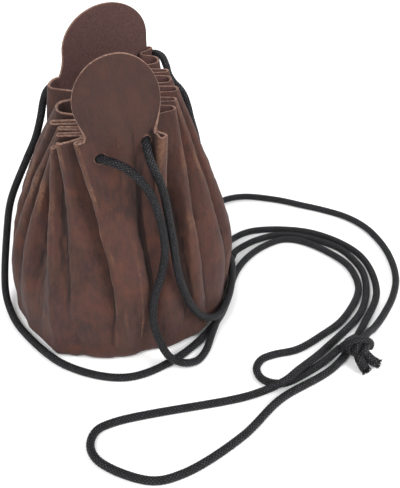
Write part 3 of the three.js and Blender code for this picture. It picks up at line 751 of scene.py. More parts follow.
    def raw_edges(self, surface: HideSurface, colour: object) -> bpy.types.NodeSocket:
        """Bares the tan heart of the hide where it was cut.

        Args:
            surface: What the layers share.
            colour: Colour so far.

        Returns:
            The colour's socket.
        """
        wiring = surface.wiring
        layers = wiring.clouds(surface.place, 0.9, detail=3.0, rough=0.6)
        bare = wiring.mix(wiring.between(layers, 0.35, 0.65), self.edge, self.edge_dark)
        stain = wiring.between(wiring.clouds(surface.upright, 0.12), 0.45, 0.7)
        bare = wiring.tint(bare, stain, 0.5, self.brown)
        return wiring.mix(wiring.attribute("cut"), colour, bare)


@dataclass(frozen=True)
class BraidFinish:
    """Black waxed yarn, braided round, with painted highlights on the yarns and painted shade between
    them.
    """

    yarn: tuple = paint(7, 7, 9)
    # colour of the painted shade in the gaps between the yarns
    deep: tuple = paint(3, 3, 4)
    # colour of the painted highlights and glints on the yarns
    glint: tuple = paint(150, 148, 158)
    roughness: float = 0.42
    gloss: float = 0.2
    filaments: float = 5.0
    stitch_depth: float = 0.35 * MM
    filament_depth: float = 0.06 * MM
    fuzz_depth: float = 0.05 * MM

    def build(self, flecks: bpy.types.NodeTree, grain: bpy.types.NodeTree) -> bpy.types.Material:
        """Builds the material.

        Args:
            flecks: Shared effect of scattered flecks.
            grain: Shared effect of a fine grain.

        Returns:
            The material.
        """
        material, wiring, shader = new_finish("black_braid", self.gloss)
        source = wiring.add("TexCoord")
        place = wiring.stretched(source.outputs["Object"], (1 / MM,) * 3)
        weave = wiring.effect(make_braid(), map=source.outputs["UV"], filaments=self.filaments)
        height = weave.outputs["Height"]
        filament = weave.outputs["Filament"]
        # Painted shade: the low places between the yarns go to the darker colour.
        colour = wiring.mix(wiring.between(height, 0.15, 0.75), self.deep, self.yarn)
        # Painted highlight along the filaments on the crowns of the yarns, stronger on some stitches.
        shine = wiring.times(filament, wiring.between(height, 0.7, 1.0))
        shine = wiring.times(shine, wiring.maths("ADD", weave.outputs["Stitch"], 0.25))
        colour = wiring.tint(colour, shine, 0.38, self.glint)
        # Painted glints scattered over the fibres of the cord.
        glint_flecks = wiring.effect(flecks, place=place, scale=1.8, share=0.66, softness=0.08)
        colour = wiring.tint(colour, glint_flecks.outputs["Mask"], 0.15, self.glint)
        wiring.feed(shader.inputs["Base Color"], colour)
        fuzz = wiring.effect(grain, place=place, scale=2.2, pits=0.3).outputs["Height"]
        wiring.feed(shader.inputs["Roughness"], wiring.varied(self.roughness, fuzz, 0.5, 0.3))
        normal = wiring.relief(height, self.stitch_depth, 0.8)
        normal = wiring.relief(filament, self.filament_depth, 0.6, normal)
        normal = wiring.relief(fuzz, self.fuzz_depth, 0.4, normal)
        wiring.feed(shader.inputs["Normal"], normal)
        return material


# --------------------------------------------------------------------------------- the studio


@dataclass(frozen=True)
class Lamp:
    """A soft square lamp that points at the pouch."""

    name: str
    place: tuple
    size: float  # side of its square in metres
    power: float  # watts
    aim: tuple = (0.02, 0.0, 0.06)

    def hang(self) -> None:
        """Hangs the lamp at its place."""
        light = bpy.data.lights.new(self.name, "AREA")
        light.size = self.size
        light.energy = self.power
        lamp = bpy.data.objects.new(self.name, light)
        lamp.location = self.place
        way = Vector(self.aim) - Vector(self.place)
        lamp.rotation_euler = way.to_track_quat("-Z", "Y").to_euler()
        bpy.context.scene.collection.objects.link(lamp)


@dataclass
class Studio:
    """The camera, the floor and the lights."""

    eye: tuple = (0.0406, -0.3037, 0.2653)
    pitch: float = 38.0  # degrees below the level
    lens: float = 55.03
    film_width: float = 36.0
    far_limit: float = 10.0
    floor_size: float = 4.0
    floor_grey: tuple = (0.93, 0.93, 0.93, 1.0)
    floor_roughness: float = 0.9
    floor_gloss: float = 0.1
    sky: float = 0.75
    lamps: tuple = (Lamp("key_light", (-0.35, -0.6, 0.85), 0.5, 7.5),
                    Lamp("side_light", (0.65, -0.35, 0.5), 0.4, 6.0),
                    Lamp("back_light", (-0.1, 0.7, 0.7), 0.6, 3.0))

    def build(self) -> None:
        """Builds the whole studio."""
        self.place_camera()
        self.lay_floor()
        for lamp in self.lamps:
            lamp.hang()
        world = bpy.data.worlds.new("studio_sky")
        world.use_nodes = True
        backdrop = world.node_tree.nodes["Background"]
        backdrop.inputs["Color"].default_value = (1.0, 1.0, 1.0, 1.0)
        backdrop.inputs["Strength"].default_value = self.sky
        bpy.context.scene.world = world
        bpy.context.scene.view_settings.view_transform = "Standard"

    def place_camera(self) -> None:
        """Sets the camera in front of the pouch, looking down on it."""
        lens = bpy.data.cameras.new("camera")
        lens.lens = self.lens
        lens.sensor_width = self.film_width
        lens.clip_end = self.far_limit
        camera = bpy.data.objects.new("camera", lens)
        camera.location = self.eye
        camera.rotation_euler = (math.radians(90 - self.pitch), 0.0, 0.0)
        bpy.context.scene.collection.objects.link(camera)
        bpy.context.scene.camera = camera

    def lay_floor(self) -> None:
        """Lays the plain pale floor."""
        bpy.ops.object.select_all(action="DESELECT")
        bpy.ops.mesh.primitive_plane_add(size=self.floor_size)
        floor = bpy.context.active_object
        floor.name = "floor"
        material, _, shader = new_finish("pale_floor", self.floor_gloss)
        shader.inputs["Base Color"].default_value = self.floor_grey
        shader.inputs["Roughness"].default_value = self.floor_roughness
        floor.data.materials.append(material)


# ----------------------------------------------------------------------------------- the cord


def through_points(points: list, steps: int = 24, lowest: float = FLOOR_LINE) -> np.ndarray:
    """Draws a smooth line through points, with the pull of each span set by its length.

    Args:
        points: Points of the route.
        steps: Samples of each span.
        lowest: Least height of the line.

    Returns:
        Samples of the line, one row each, kept above the floor.
    """
    given = np.array(points, float)
    ends = np.vstack([2 * given[0] - given[1], given, 2 * given[-1] - given[-2]])
    t = (np.arange(steps) / steps)[:, None]
    line = []
    for a, b, c, d in zip(ends[:-3], ends[1:-2], ends[2:-1], ends[3:]):
        before, span, after = (math.sqrt(np.linalg.norm(q - p)) for p, q in ((a, b), (b, c), (c, d)))
        leave = span * ((b - a) / before - (c - a) / (before + span) + (c - b) / span)
        reach = span * ((c - b) / span - (d - b) / (span + after) + (d - c) / after)
        bend = -3 * b + 3 * c - 2 * leave - reach
        twist = 2 * b - 2 * c + leave + reach
        line.append(b + leave * t + bend * t**2 + twist * t**3)
    line.append(given[-1:])
    smooth = np.vstack(line)
    smooth[:, 2] = np.maximum(smooth[:, 2], lowest)
    return smooth


def evenly(line: np.ndarray, step: float) -> np.ndarray:
    """Spaces the points of a line evenly.

    Args:
        line: Points of the line.
        step: Distance wanted between two points.

    Returns:
        The new points. The ends stay.
    """
    along = np.r_[0, np.cumsum(np.linalg.norm(np.diff(line, axis=0), axis=1))]
    wanted = np.linspace(0, along[-1], max(3, round(along[-1] / step) + 1))
    return np.stack([np.interp(wanted, along, line[:, axis]) for axis in range(3)], axis=1)


def threaded_lines() -> list[np.ndarray]:
    """Draws the middle lines of the stretches that go through the hide."""
    return [through_points(ROUTES[name][first:last]) for name, first, last in THREADED]


def carried_frames(line: np.ndarray) -> tuple[np.ndarray, np.ndarray]:
    """Carries two cross directions along a line without twist.

    Args:
        line: Points of the line.

    Returns:
        The first and the second direction at each point.
    """
    ahead = np.gradient(line, axis=0)
    ahead /= np.linalg.norm(ahead, axis=1)[:, None]
    side = np.array([0.0, 0.0, 1.0]) if abs(ahead[0][2]) < 0.9 else np.array([1.0, 0.0, 0.0])
    sides = np.empty_like(line)
    for i, way in enumerate(ahead):
        side = side - way * (side @ way)
        side /= np.linalg.norm(side)
        sides[i] = side
    return sides, np.cross(ahead, sides)


def tube_skin(line: np.ndarray, reach: np.ndarray, sides: int) -> np.ndarray:
    """Sets rings of points round a line.

    Args:
        line: Points of the middle line.
        reach: Distance of the skin from each of them, for each side or for all.
        sides: Points of a ring.

    Returns:
        The points, ring after ring.
    """
    first, second = carried_frames(line)
    angle = 2 * math.pi * (np.arange(sides) / sides)
    ring = (np.cos(angle)[None, :, None] * first[:, None, :]
            + np.sin(angle)[None, :, None] * second[:, None, :])
    return (line[:, None, :] + reach[:, :, None] * ring).reshape(-1, 3)


def tube_walls(rows: int, sides: int) -> list[tuple]:
    """Joins rings of points to the walls of a tube.

    Args:
        rows: Number of rings.
        sides: Points of a ring.

    Returns:
        The faces, ring after ring.
    """
    return [(a + j, a + (j + 1) % sides, a + sides + (j + 1) % sides, a + sides + j)
            for a in range(0, (rows - 1) * sides, sides) for j in range(sides)]


@dataclass
class TubeMesh:
    """Points, faces and map of one or more tubes."""

    points: list[np.ndarray] = field(default_factory=list)
    faces: list[tuple] = field(default_factory=list)
    maps: list[tuple] = field(default_factory=list)
    count: int = 0

    def add(self, points: np.ndarray, faces: list[tuple], maps: list[tuple]) -> None:
        """Adds a tube.

        Args:
            points: Its points.
            faces: Its faces, numbered from its own first point.
            maps: Map place of each face corner, in the order of the faces.
        """
        self.points.append(points)
        self.faces.extend(tuple(corner + self.count for corner in face) for face in faces)
        self.maps.extend(maps)
        self.count += len(points)


@dataclass
class Braid:
    """A round braid of two sets of yarns."""

    radius: float = CORD_WIDTH / 2
    relief: float = 0.00034
    mean_height: float = 0.62  # height of the braid's skin at which the cord has its radius
    yarns: int = 8
    turn: float = 0.0125  # length in which a yarn goes once round
    sides: int = 32
    step: float = 0.00042
    taper: float = 0.45  # share of a filament's radius that its tip keeps
    plain_spot: tuple = (0.06, 0.0)  # place on the braid's map for a loose filament

    def height(self, around: np.ndarray, along: np.ndarray) -> np.ndarray:
        """Height of the yarns over the cord's core.

        Args:
            around: Places round the cord, in turns.
            along: Places along the cord, in turns of a yarn.

        Returns:
            The height, from 0 to 1.
        """
        right = self.yarns * (around + along)
        left = self.yarns * (around - along)
        arch_right = np.cos(math.pi * (right - np.round(right)))
        arch_left = np.cos(math.pi * (left - np.round(left)))
        over = np.cos(math.pi * (np.round(right) + np.round(left)))
        high_right = arch_right * (1 - CROSS_LIFT + CROSS_LIFT * arch_left * over)
        high_left = arch_left * (1 - CROSS_LIFT - CROSS_LIFT * arch_right * over)
        return np.maximum(high_right, high_left)

    def tube(self, mesh: TubeMesh, line: np.ndarray, tip: float = 0.35) -> None:
        """Adds a braided tube along a line, with both ends rounded and closed.

        Args:
            mesh: Mesh that the tube goes into.
            line: Points of its middle line.
            tip: Share of the radius over which each end is rounded.
        """
        middle = evenly(line, self.step)
        rows, sides = len(middle), self.sides
        along = np.arange(rows)[:, None] * (self.step / self.turn)
        around = np.arange(sides)[None, :] / sides
        reach = self.radius + self.relief * (self.height(around, along) - self.mean_height)
        for row, share in ((0, 1 - tip), (1, 1 - tip / 4), (-2, 1 - tip / 4), (-1, 1 - tip)):
            reach[row] *= share
        skin = tube_skin(middle, reach, sides)
        faces = tube_walls(rows, sides)
        marks = [j / sides for j in range(sides + 1)]
        turns = along[:, 0].tolist()
        maps = []
        for low, high in zip(turns[:-1], turns[1:]):
            for left, right in zip(marks[:-1], marks[1:]):
                maps.extend(((left, low), (right, low), (right, high), (left, high)))
        last = (rows - 1) * sides
        for j in range(sides):
            k = (j + 1) % sides
            left, right = (marks[j], 0.0), (marks[j + 1], 0.0)
            faces += [(k, j, len(skin)), (last + j, last + k, len(skin) + 1)]
            maps += [right, left, left, left, right, right]
        mesh.add(np.vstack([skin, middle[:1], middle[-1:]]), faces, maps)

    def strand(self, mesh: TubeMesh, line: np.ndarray, radius: float, sides: int = 5) -> None:
        """Adds one plain filament that thins towards its tip.

        Args:
            mesh: Mesh that the filament goes into.
            line: Points of its middle line.
            radius: Radius at its root.
            sides: Number of its sides.
        """
        rows = len(line)
        skin = tube_skin(line, radius * np.linspace(1.0, self.taper, rows)[:, None], sides)
        faces = tube_walls(rows, sides)
        faces.append(tuple(range(sides - 1, -1, -1)))
        faces.append(tuple(range((rows - 1) * sides, rows * sides)))
        mesh.add(skin, faces, [self.plain_spot] * sum(len(face) for face in faces))

    def piece(self, node: str, mesh: TubeMesh, material: bpy.types.Material) -> bpy.types.Object:
        """Turns tubes into one piece of cord, in place of its frame node.

        Args:
            node: Name of the frame node.
            mesh: The piece's tubes.
            material: Its finish.

        Returns:
            The piece.
        """
        name = node.replace("cord_", "drawcord_")
        cord = add_piece(name, np.vstack(mesh.points), mesh.faces)
        layer = cord.data.uv_layers.new(name="braid_map")
        layer.data.foreach_set("uv", np.array(mesh.maps, np.float32).ravel())
        cord.data.materials.append(material)
        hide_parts(node)
        report_piece(cord)
        return cord


@dataclass
class Stretch:
    """One stretch of the drawcord."""

    node: str
    far_end: FarEnd = FarEnd.HELD
    path_step: float = 0.0012

    def build(self, braid: Braid, material: bpy.types.Material) -> bpy.types.Object:
        """Builds the stretch in place of its frame node.

        Args:
            braid: The braid's make.
            material: Its finish.

        Returns:
            The piece.
        """
        mesh = TubeMesh()
        braid.tube(mesh, through_points(ROUTES[self.node]))
        return braid.piece(self.node, mesh, material)

    def declare(self, piece: bpy.types.Object, with_pieces: list[bpy.types.Object]) -> None:
        """Args:
            piece: The piece of the stretch. Not used.
            with_pieces: Pieces on its far end. Not used.
        """
        if self.far_end is FarEnd.HELD:
            return
        path = evenly(through_points(ROUTES[self.node]), self.path_step)


@dataclass
class Knot:
    """The overhand knot that joins the two ends of the drawcord."""

    middle: tuple = (0.1151, -0.0537, 0.0086)
    turn: float = -39.0  # degrees from the X axis
    half_length: float = 0.0052
    half_width: float = 0.0043
    half_height: float = 0.0030
    turns: tuple = (-0.25, 2.5)  # where the wraps start and end, in turns round the knot
    wrapped_share: float = 0.86  # share of the half length that the wraps cover
    slant: float = 0.0011
    wrap_points: int = 260
    strap: tuple = ((-0.0052, -0.0034, -0.0036), (-0.0050, -0.0046, -0.0004),
                    (-0.0030, -0.0040, 0.0030), (0.0004, -0.0016, 0.0052),
                    (0.0034, 0.0016, 0.0044), (0.0050, 0.0040, 0.0016),
                    (0.0046, 0.0046, -0.0022))
    core: tuple = ((-0.0064, -0.0006, -0.0016), (0.0, 0.0, 0.0), (0.0060, -0.0008, -0.0024))
    any_depth: float = -1.0  # height below which no point of the strap lies

    def to_pouch(self, local: np.ndarray) -> np.ndarray:
        """Moves places on the knot into the pouch's frame.

        Args:
            local: Places along, across and above the knot's middle.

        Returns:
            The places in the pouch's frame.
        """
        c, s = math.cos(math.radians(self.turn)), math.sin(math.radians(self.turn))
        spin = np.array([[c, -s, 0.0], [s, c, 0.0], [0.0, 0.0, 1.0]])
        return local @ spin.T + np.array(self.middle)

    def wraps(self) -> np.ndarray:
        """Winds the line of the wraps round the knot."""
        sweep = 2 * math.pi * np.linspace(*self.turns, self.wrap_points)
        share = np.linspace(-self.wrapped_share, self.wrapped_share, self.wrap_points)
        belly = np.sqrt(1 - share**2)
        return np.stack([
            self.half_length * share + self.slant * np.sin(sweep),
            self.half_width * belly * np.cos(sweep),
            self.half_height * belly * np.sin(sweep),
        ], axis=1)

    def build(self, braid: Braid, material: bpy.types.Material) -> bpy.types.Object:
        """Builds the knot from its wraps, the strap that crosses them and its core.

        Args:
            braid: The braid's make.
            material: Its finish.

        Returns:
            The piece.
        """
        mesh = TubeMesh()
        strap = through_points(self.strap, lowest=self.any_depth)
        for line in (self.wraps(), strap, np.array(self.core)):
            braid.tube(mesh, self.to_pouch(line))
        return braid.piece("cord_knot", mesh, material)


@dataclass
class Tail:
    """A cut end of the drawcord, frayed at its tip."""

    node: str
    seed: int
    fullness: float = 1.3
    step: float = 0.0004
    whole_share: float = 0.88  # share of the tail that is not frayed
    fibres: int = 90
    fibre_radius: float = 0.00018
    fibre_length: float = 0.0022
    fibre_points: int = 6
    root_depth: float = 0.0006
    rooted_share: float = 0.8  # share of the cut face that the fibres grow from
    flare: tuple = (0.1, 0.45)
    curl: float = 0.5
    shortest: float = 0.45

    def build(self, braid: Braid, material: bpy.types.Material) -> bpy.types.Object:
        """Builds the tail and its tuft of loose yarn.

        Args:
            braid: The braid's make.
            material: Its finish.

        Returns:
            The piece.
        """
        root = tuple(0.5 * (a + b) for a, b in zip(ROUTES[self.node][0], Knot.middle))
        stout = Braid(radius=self.fullness * braid.radius)
        lowest = FLOOR_LINE + stout.radius - braid.radius
        line = evenly(through_points([root, *ROUTES[self.node]], lowest=lowest), self.step)
        whole = line[: max(6, int(self.whole_share * len(line)))]
        mesh = TubeMesh()
        stout.tube(mesh, whole)
        self.fray(mesh, stout, whole)
        return braid.piece(self.node, mesh, material)

    def fray(self, mesh: TubeMesh, stout: Braid, whole: np.ndarray) -> None:
        """Adds the tuft of loose yarn.

        Args:
            mesh: Mesh that the tuft goes into.
            stout: Make of the tail's braid.
            whole: Middle line of the part that is not frayed.
        """
        dice = np.random.default_rng(self.seed)
        ahead = whole[-1] - whole[-4]
        ahead /= np.linalg.norm(ahead)
        side = np.cross(ahead, (0.0, 0.0, 1.0))
        side /= np.linalg.norm(side)
        up = np.cross(side, ahead)
        t = np.linspace(0, 1, self.fibre_points)[:, None]
        for _ in range(self.fibres):
            angle = dice.uniform(0, 2 * math.pi)
            reach = stout.radius * math.sqrt(dice.uniform(0, self.rooted_share))
            out = math.cos(angle) * side + math.sin(angle) * up
            start = whole[-1] - self.root_depth * ahead + reach * out
            flare = dice.uniform(*self.flare)
            curl = dice.uniform(-self.curl, self.curl) * side
            length = self.fibre_length * dice.uniform(self.shortest, 1.0)
            hair = start + length * t * (ahead + flare * out * t + curl * t**2)
            hair[:, 2] = np.maximum(hair[:, 2], 2 * self.fibre_radius)
            stout.strand(mesh, hair, self.fibre_radius)


@dataclass
class Drawcord:
    """The whole drawcord: free stretches, held runs, knot and tails."""

    braid: Braid = field(default_factory=Braid)

    def build(self, material: bpy.types.Material) -> None:
        """Args:
            material: Finish of the cord.
        """
        knot = Knot().build(self.braid, material)
        tails = [Tail("cord_tail_1", 11).build(self.braid, material),
                 Tail("cord_tail_2", 23).build(self.braid, material)]
        for stretch in (Stretch("cord_front_left", FarEnd.OBJECT),
                        Stretch("cord_front_loop", FarEnd.OBJECT),
                        Stretch("cord_rear_left", FarEnd.KNOT),
                        Stretch("cord_rear_right", FarEnd.KNOT),
                        Stretch("cord_left_run"),
                        Stretch("cord_right_run")):
            piece = stretch.build(self.braid, material)
            stretch.declare(piece, [knot, *tails] if stretch.far_end is FarEnd.KNOT else [])


# ----------------------------------------------------------------------------------- the hide


@dataclass
class Hide:
    """The gathered, one-piece leather body with its two tabs, all in millimetres."""

    thickness: float = 1.3
    corner_radius: float = 4.0
    corner_rows: int = 6
    wall_rows: int = 66
    tab_rows: int = 18
    base_rings: int = 5
    curve_steps: int = 4
    leg_steps: int = 3
    bend_share: float = 0.45
    tab_arc_share: float = 0.62
    hole_radius: float = 2.25
    hole_step: float = 0.8
    bare_step: float = 0.5
    bare_ring: float = 0.06  # width of bare leather round a hole
    sag: float = 0.55
    pucker: float = 0.42
    still_foot: tuple = (4, 14)  # height below which the wall keeps its shape, and its blend
    calm_neck: tuple = (84, 12)  # height above which it moves less, and its blend
    calm_share: float = 0.75
    # Rounding of the cut edge: place in shares of half the thickness, and rise.
    lip: tuple = ((0.8, 0.16), (0.3, 0.26), (-0.3, 0.26), (-0.8, 0.16))
    fold_reaches: tuple = (1, 2, 3)  # columns over which the sharpness of a fold is taken
    fold_gain: float = 1.6
    least_span: float = 0.5
    smooth_angle: float = 55

    def __post_init__(self) -> None:
        """Works out what the tables give for every height."""
        rings = (BASE_RING, BELLY_RING, WAIST_RING)
        levels = np.array([ring[0] for ring in rings] + [RIM_HEIGHT])
        self.shares = (levels - levels[0]) / (RIM_HEIGHT - levels[0])
        self.names = [bend[0] for bend in BENDS]
        table = np.array([bend[1:] for bend in BENDS], float)
        places = []
        for ring, angle, offset in ((BASE_RING, 0, 1), (BELLY_RING, 2, 3), (WAIST_RING, 5, 6)):
            turn = np.radians(table[:, angle])
            reach = ring[3] + table[:, offset]
            places.append(np.stack([ring[1] + reach * np.cos(turn),
                                    ring[2] + reach * np.sin(turn)], axis=1))
        places.append(table[:, 8:10])
        self.places = np.array(places)
        self.halves = np.array([table[:, 4], table[:, 4], table[:, 7], table[:, 11]])
        self.tops = table[:, 10]
        self.per_bend = 2 * self.curve_steps + 1 + self.leg_steps
        self.columns = self.per_bend * len(BENDS)

    def through_levels(self, values: np.ndarray, share: float) -> np.ndarray:
        """Blends values of the four levels, with matched slopes.

        Args:
            values: Values at the base, belly, waist and rim.
            share: Share of the wall's height.

        Returns:
            The values at that share.
        """
        at = self.shares
        k = int(share > at[1]) + int(share > at[2])

        def slope(i: int) -> np.ndarray:
            """Slope of the values at a level."""
            low, high = max(i - 1, 0), min(i + 1, 3)
            return (values[high] - values[low]) / (at[high] - at[low])

        span = at[k + 1] - at[k]
        s = (share - at[k]) / span
        return (values[k] * (2 * s**3 - 3 * s**2 + 1) + values[k + 1] * (3 * s**2 - 2 * s**3)
                + span * (slope(k) * (s**3 - 2 * s**2 + s) + slope(k + 1) * (s**3 - s**2)))

    def section(self, share: float) -> tuple[np.ndarray, np.ndarray]:
        """Draws the pleated section at a height.

        Args:
            share: Share of the wall's height.

        Returns:
            Places of its columns and the height of the rim above each.
        """
        place = self.through_levels(self.places, share)
        before, after = np.roll(place, 1, axis=0), np.roll(place, -1, axis=0)
        across = after - before
        width = np.linalg.norm(across, axis=1)[:, None]
        flat = across / width
        deep = place - (before + after) / 2
        depth = np.linalg.norm(deep, axis=1)[:, None]
        turn = np.sign(deep[:, :1] * flat[:, 1:] - deep[:, 1:] * flat[:, :1]) / depth
        folded = np.hstack([-turn * deep[:, 1:], turn * deep[:, :1]])
        way = flat + np.minimum(1, 2 * depth / width) * (folded - flat)
        way /= np.linalg.norm(way, axis=1)[:, None]
        room = np.minimum(np.linalg.norm(place - before, axis=1),
                          np.linalg.norm(after - place, axis=1))
        half = np.minimum(self.through_levels(self.halves, share), self.bend_share * room)
        left = place - half[:, None] * way
        right = place + half[:, None] * way

        def start(corner: np.ndarray, other: np.ndarray, step: int) -> tuple:
            """Where the rounding of a corner starts, and the rim's height there."""
            leg = np.linalg.norm(other - corner, axis=1)
            cut = np.minimum(half / leg, self.bend_share)
            return (corner + (other - corner) * cut[:, None],
                    self.tops + (np.roll(self.tops, step) - self.tops) * cut)

        left_start, left_top = start(left, np.roll(right, 1, axis=0), 1)
        right_start, right_top = start(right, np.roll(left, -1, axis=0), -1)
        curve = np.arange(self.curve_steps) / self.curve_steps
        columns, tops = [], []
        for begin, top, corner, shares in ((left_start, left_top, left, [*curve, 1.0]),
                                           (right_start, right_top, right, curve[::-1])):
            for t in shares:
                columns.append((1 - t)**2 * begin + 2 * t * (1 - t) * corner + t**2 * place)
                tops.append((1 - t)**2 * top + (1 - (1 - t)**2) * self.tops)
        next_start, next_top = np.roll(left_start, -1, axis=0), np.roll(left_top, -1)
        for step in range(1, self.leg_steps + 1):
            t = step / (self.leg_steps + 1)
            columns.append((1 - t) * right_start + t * next_start)
            tops.append((1 - t) * right_top + t * next_top)
        return (np.stack(columns, axis=1).reshape(-1, 2), np.stack(tops, axis=1).reshape(-1))

    def tab_place(self, tab: tuple, place: float, chord: float, first: float,
                  last: float) -> tuple[float, float]:
        """Place on a tab's outline.

        Args:
            tab: Row of the table of tabs.
            place: Place on the outline, from -1 over 0 at the top to 1.
            chord: Length of the rim below the tab.
            first: Height of the rim at its first end.
            last: Height of the rim at its last end.

        Returns:
            Distance along the chord and height.
        """
        _, _, middle, left, right, height, rise, left_neck, right_neck = tab
        centre = middle * chord
        reach = centre - left if place < 0 else centre + right
        if abs(place) <= self.tab_arc_share:
            angle = abs(place) / self.tab_arc_share * math.pi / 2
            return (centre + (reach - centre) * math.sin(angle),
                    height + rise * math.cos(angle))
        t = (abs(place) - self.tab_arc_share) / (1 - self.tab_arc_share)
        top = first if place < 0 else last
        corner = 0.0 if place < 0 else chord
        neck = left_neck if place < 0 else chord - right_neck
        weights = ((1 - t)**3, 3 * t * (1 - t)**2, 3 * t * t * (1 - t), t**3)
        along = (reach, reach, neck, corner)
        up = (height, (height + top) / 2, top, top)
        return (sum(w * v for w, v in zip(weights, along)),
                sum(w * v for w, v in zip(weights, up)))

    def tab_steps(self, bends: int) -> np.ndarray:
        """Places of a tab's columns on its outline, from -1 to 1.

        Args:
            bends: How many folds the tab spans.

        Returns:
            One place for each column, the two ends included.
        """
        # A fold takes four parts of the outline: one for its leg and 1.5 for each rounding.
        curve = 1.5 * np.arange(self.curve_steps + 1) / self.curve_steps
        legs = np.arange(1, self.leg_steps + 1) / (self.leg_steps + 1)
        steps = [0.0]
        for bend in range(bends):
            steps.extend(4 * bend + legs)
            steps.extend(4 * bend + 1 + curve)
            steps.extend(4 * bend + 4 - curve[-2::-1])
        return 2 * np.array(steps) / (4 * bends) - 1

    def wall_rows_mm(self) -> list[np.ndarray]:
        """Draws the rows of the middle of the hide, from the base to the rim.

        Returns:
            One array of places for each row, in millimetres.
        """
        foot, _ = self.section(0.0)
        hub = np.array(BASE_RING[1:3])
        spoke = foot - hub
        reach = np.linalg.norm(spoke, axis=1)[:, None]
        level = np.ones(len(foot))
        floor = self.thickness / 2
        inner = 1 - self.corner_radius / reach
        rows = [np.column_stack([hub + spoke * inner * ring / (self.base_rings + 1), floor * level])
                for ring in range(1, self.base_rings + 1)]
        for i in range(self.corner_rows + 1):
            angle = i / self.corner_rows * math.pi / 2
            drawn = hub + spoke * (1 - self.corner_radius * (1 - math.sin(angle)) / reach)
            height = floor + self.corner_radius * (1 - math.cos(angle))
            rows.append(np.column_stack([drawn, height * level]))
        for i in range(1, self.wall_rows + 1):
            share = i / self.wall_rows
            drawn, tops = self.section(share)
            rows.append(np.column_stack([drawn, BASE_RING[0] + share * (tops - BASE_RING[0])]))
        return rows

    def grid(self) -> tuple[np.ndarray, np.ndarray]:
        """Draws the middle of the hide.

        Returns:
            Its points, and the point number of each row and column. Where there is no tab, the
            rows above the rim repeat the rim's own points.
        """
        rows = self.wall_rows_mm()
        rim = rows[-1]
        points = list(np.vstack(rows))
        at = [np.arange(self.columns) + i * self.columns for i in range(len(rows))]
        above_rim = [at[-1].copy() for _ in range(self.tab_rows)]
        last_column = 2 * self.curve_steps
        for tab in TABS:
            first_bend, last_bend = self.names.index(tab[0]), self.names.index(tab[1])
            start = first_bend * self.per_bend + last_column
            end = last_bend * self.per_bend + last_column
            first, last = rim[start], rim[end]
            chord = float(np.linalg.norm((last - first)[:2]))
            way = (last - first)[:2] / chord
            for j, place in zip(range(start, end + 1), self.tab_steps(last_bend - first_bend)):
                if j in (start, end):
                    continue
                reach, height = self.tab_place(tab, place, chord, first[2], last[2])
                top = np.array([*(first[:2] + way * reach), height])
                for i in range(self.tab_rows):
                    share = (i + 1) / self.tab_rows
                    above_rim[i][j] = len(points)
                    points.append(rim[j] * (1 - share) + top * share)
        return np.array(points), np.array(at + above_rim)

    def quads(self, at: np.ndarray) -> np.ndarray:
        """Joins the points of the grid.

        Args:
            at: Point number of each row and column.

        Returns:
            Corner numbers of the faces, seen from outside, without the collapsed ones.
        """
        beside = np.roll(at, -1, axis=1)
        faces = np.stack([at[:-1], beside[:-1], beside[1:], at[1:]], axis=-1).reshape(-1, 4)
        collapsed = (faces[:, 0] == faces[:, 3]) & (faces[:, 1] == faces[:, 2])
        return faces[~collapsed]

    def normals(self, points: np.ndarray, faces: np.ndarray) -> np.ndarray:
        """Outward direction at each point.

        Args:
            points: Points of the middle of the hide.
            faces: Its faces.

        Returns:
            One unit direction for each point.
        """
        first = points[faces[:, 2]] - points[faces[:, 0]]
        second = points[faces[:, 3]] - points[faces[:, 1]]
        face_way = np.cross(first, second)
        face_way /= np.maximum(np.linalg.norm(face_way, axis=1), 1e-9)[:, None]
        ways = np.zeros_like(points)
        for corner in range(4):
            np.add.at(ways, faces[:, corner], face_way)
        return ways / np.maximum(np.linalg.norm(ways, axis=1), 1e-9)[:, None]

    def handled(self, points: np.ndarray, ways: np.ndarray) -> np.ndarray:
        """Softens the wall with the sag and small puckers of handled leather.

        Args:
            points: Points of the middle of the hide, in millimetres.
            ways: Outward direction at each point.

        Returns:
            The moved points.
        """
        shift = np.zeros(len(points))
        heights = points[:, 2:]
        (foot, foot_blend), (neck, neck_blend) = self.still_foot, self.calm_neck
        wall = np.clip((heights - foot) / foot_blend, 0, 1)
        freedom = wall * (1 - self.calm_share * np.clip((heights - neck) / neck_blend, 0, 1))
        for i, (x, y, z) in enumerate(points.tolist()):
            # A broad swell, fine upright puckers and small dents, each a noise of its own.
            broad = noise.noise(Vector((x, y, z * 0.7)) * 0.06)
            fine = noise.noise(Vector((x * 0.26 + 40, y * 0.26, z * 0.055)))
            small = noise.noise(Vector((x * 0.32, y * 0.32 + 70, z * 0.21)))
            shift[i] = self.sag * 1.6 * broad + self.pucker * (fine + 0.6 * small)
        return points + ways * freedom * shift[:, None]

    def sharpness(self, points: np.ndarray, at: np.ndarray, ways: np.ndarray) -> np.ndarray:
        """How sharply the hide is folded round its height.

        Args:
            points: Points of the middle of the hide.
            at: Point number of each row and column.
            ways: Outward direction at each point.

        Returns:
            One value for each point, above 0 on a ridge and below 0 in a valley.
        """
        total = np.zeros(len(points))
        here = points[at]
        for reach in self.fold_reaches:
            before = np.roll(here, reach, axis=1)
            after = np.roll(here, -reach, axis=1)
            first, second = here - before, after - here
            long_first = np.linalg.norm(first, axis=2)[..., None]
            long_second = np.linalg.norm(second, axis=2)[..., None]
            turn = second / np.maximum(long_second, 1e-6) - first / np.maximum(long_first, 1e-6)
            span = np.maximum((long_first + long_second)[..., 0] / 2, self.least_span)
            bend = -np.einsum("ijk,ijk->ij", turn, ways[at]) / span
            total[at] += bend / len(self.fold_reaches)
        return np.clip(total * self.fold_gain, -1, 1)

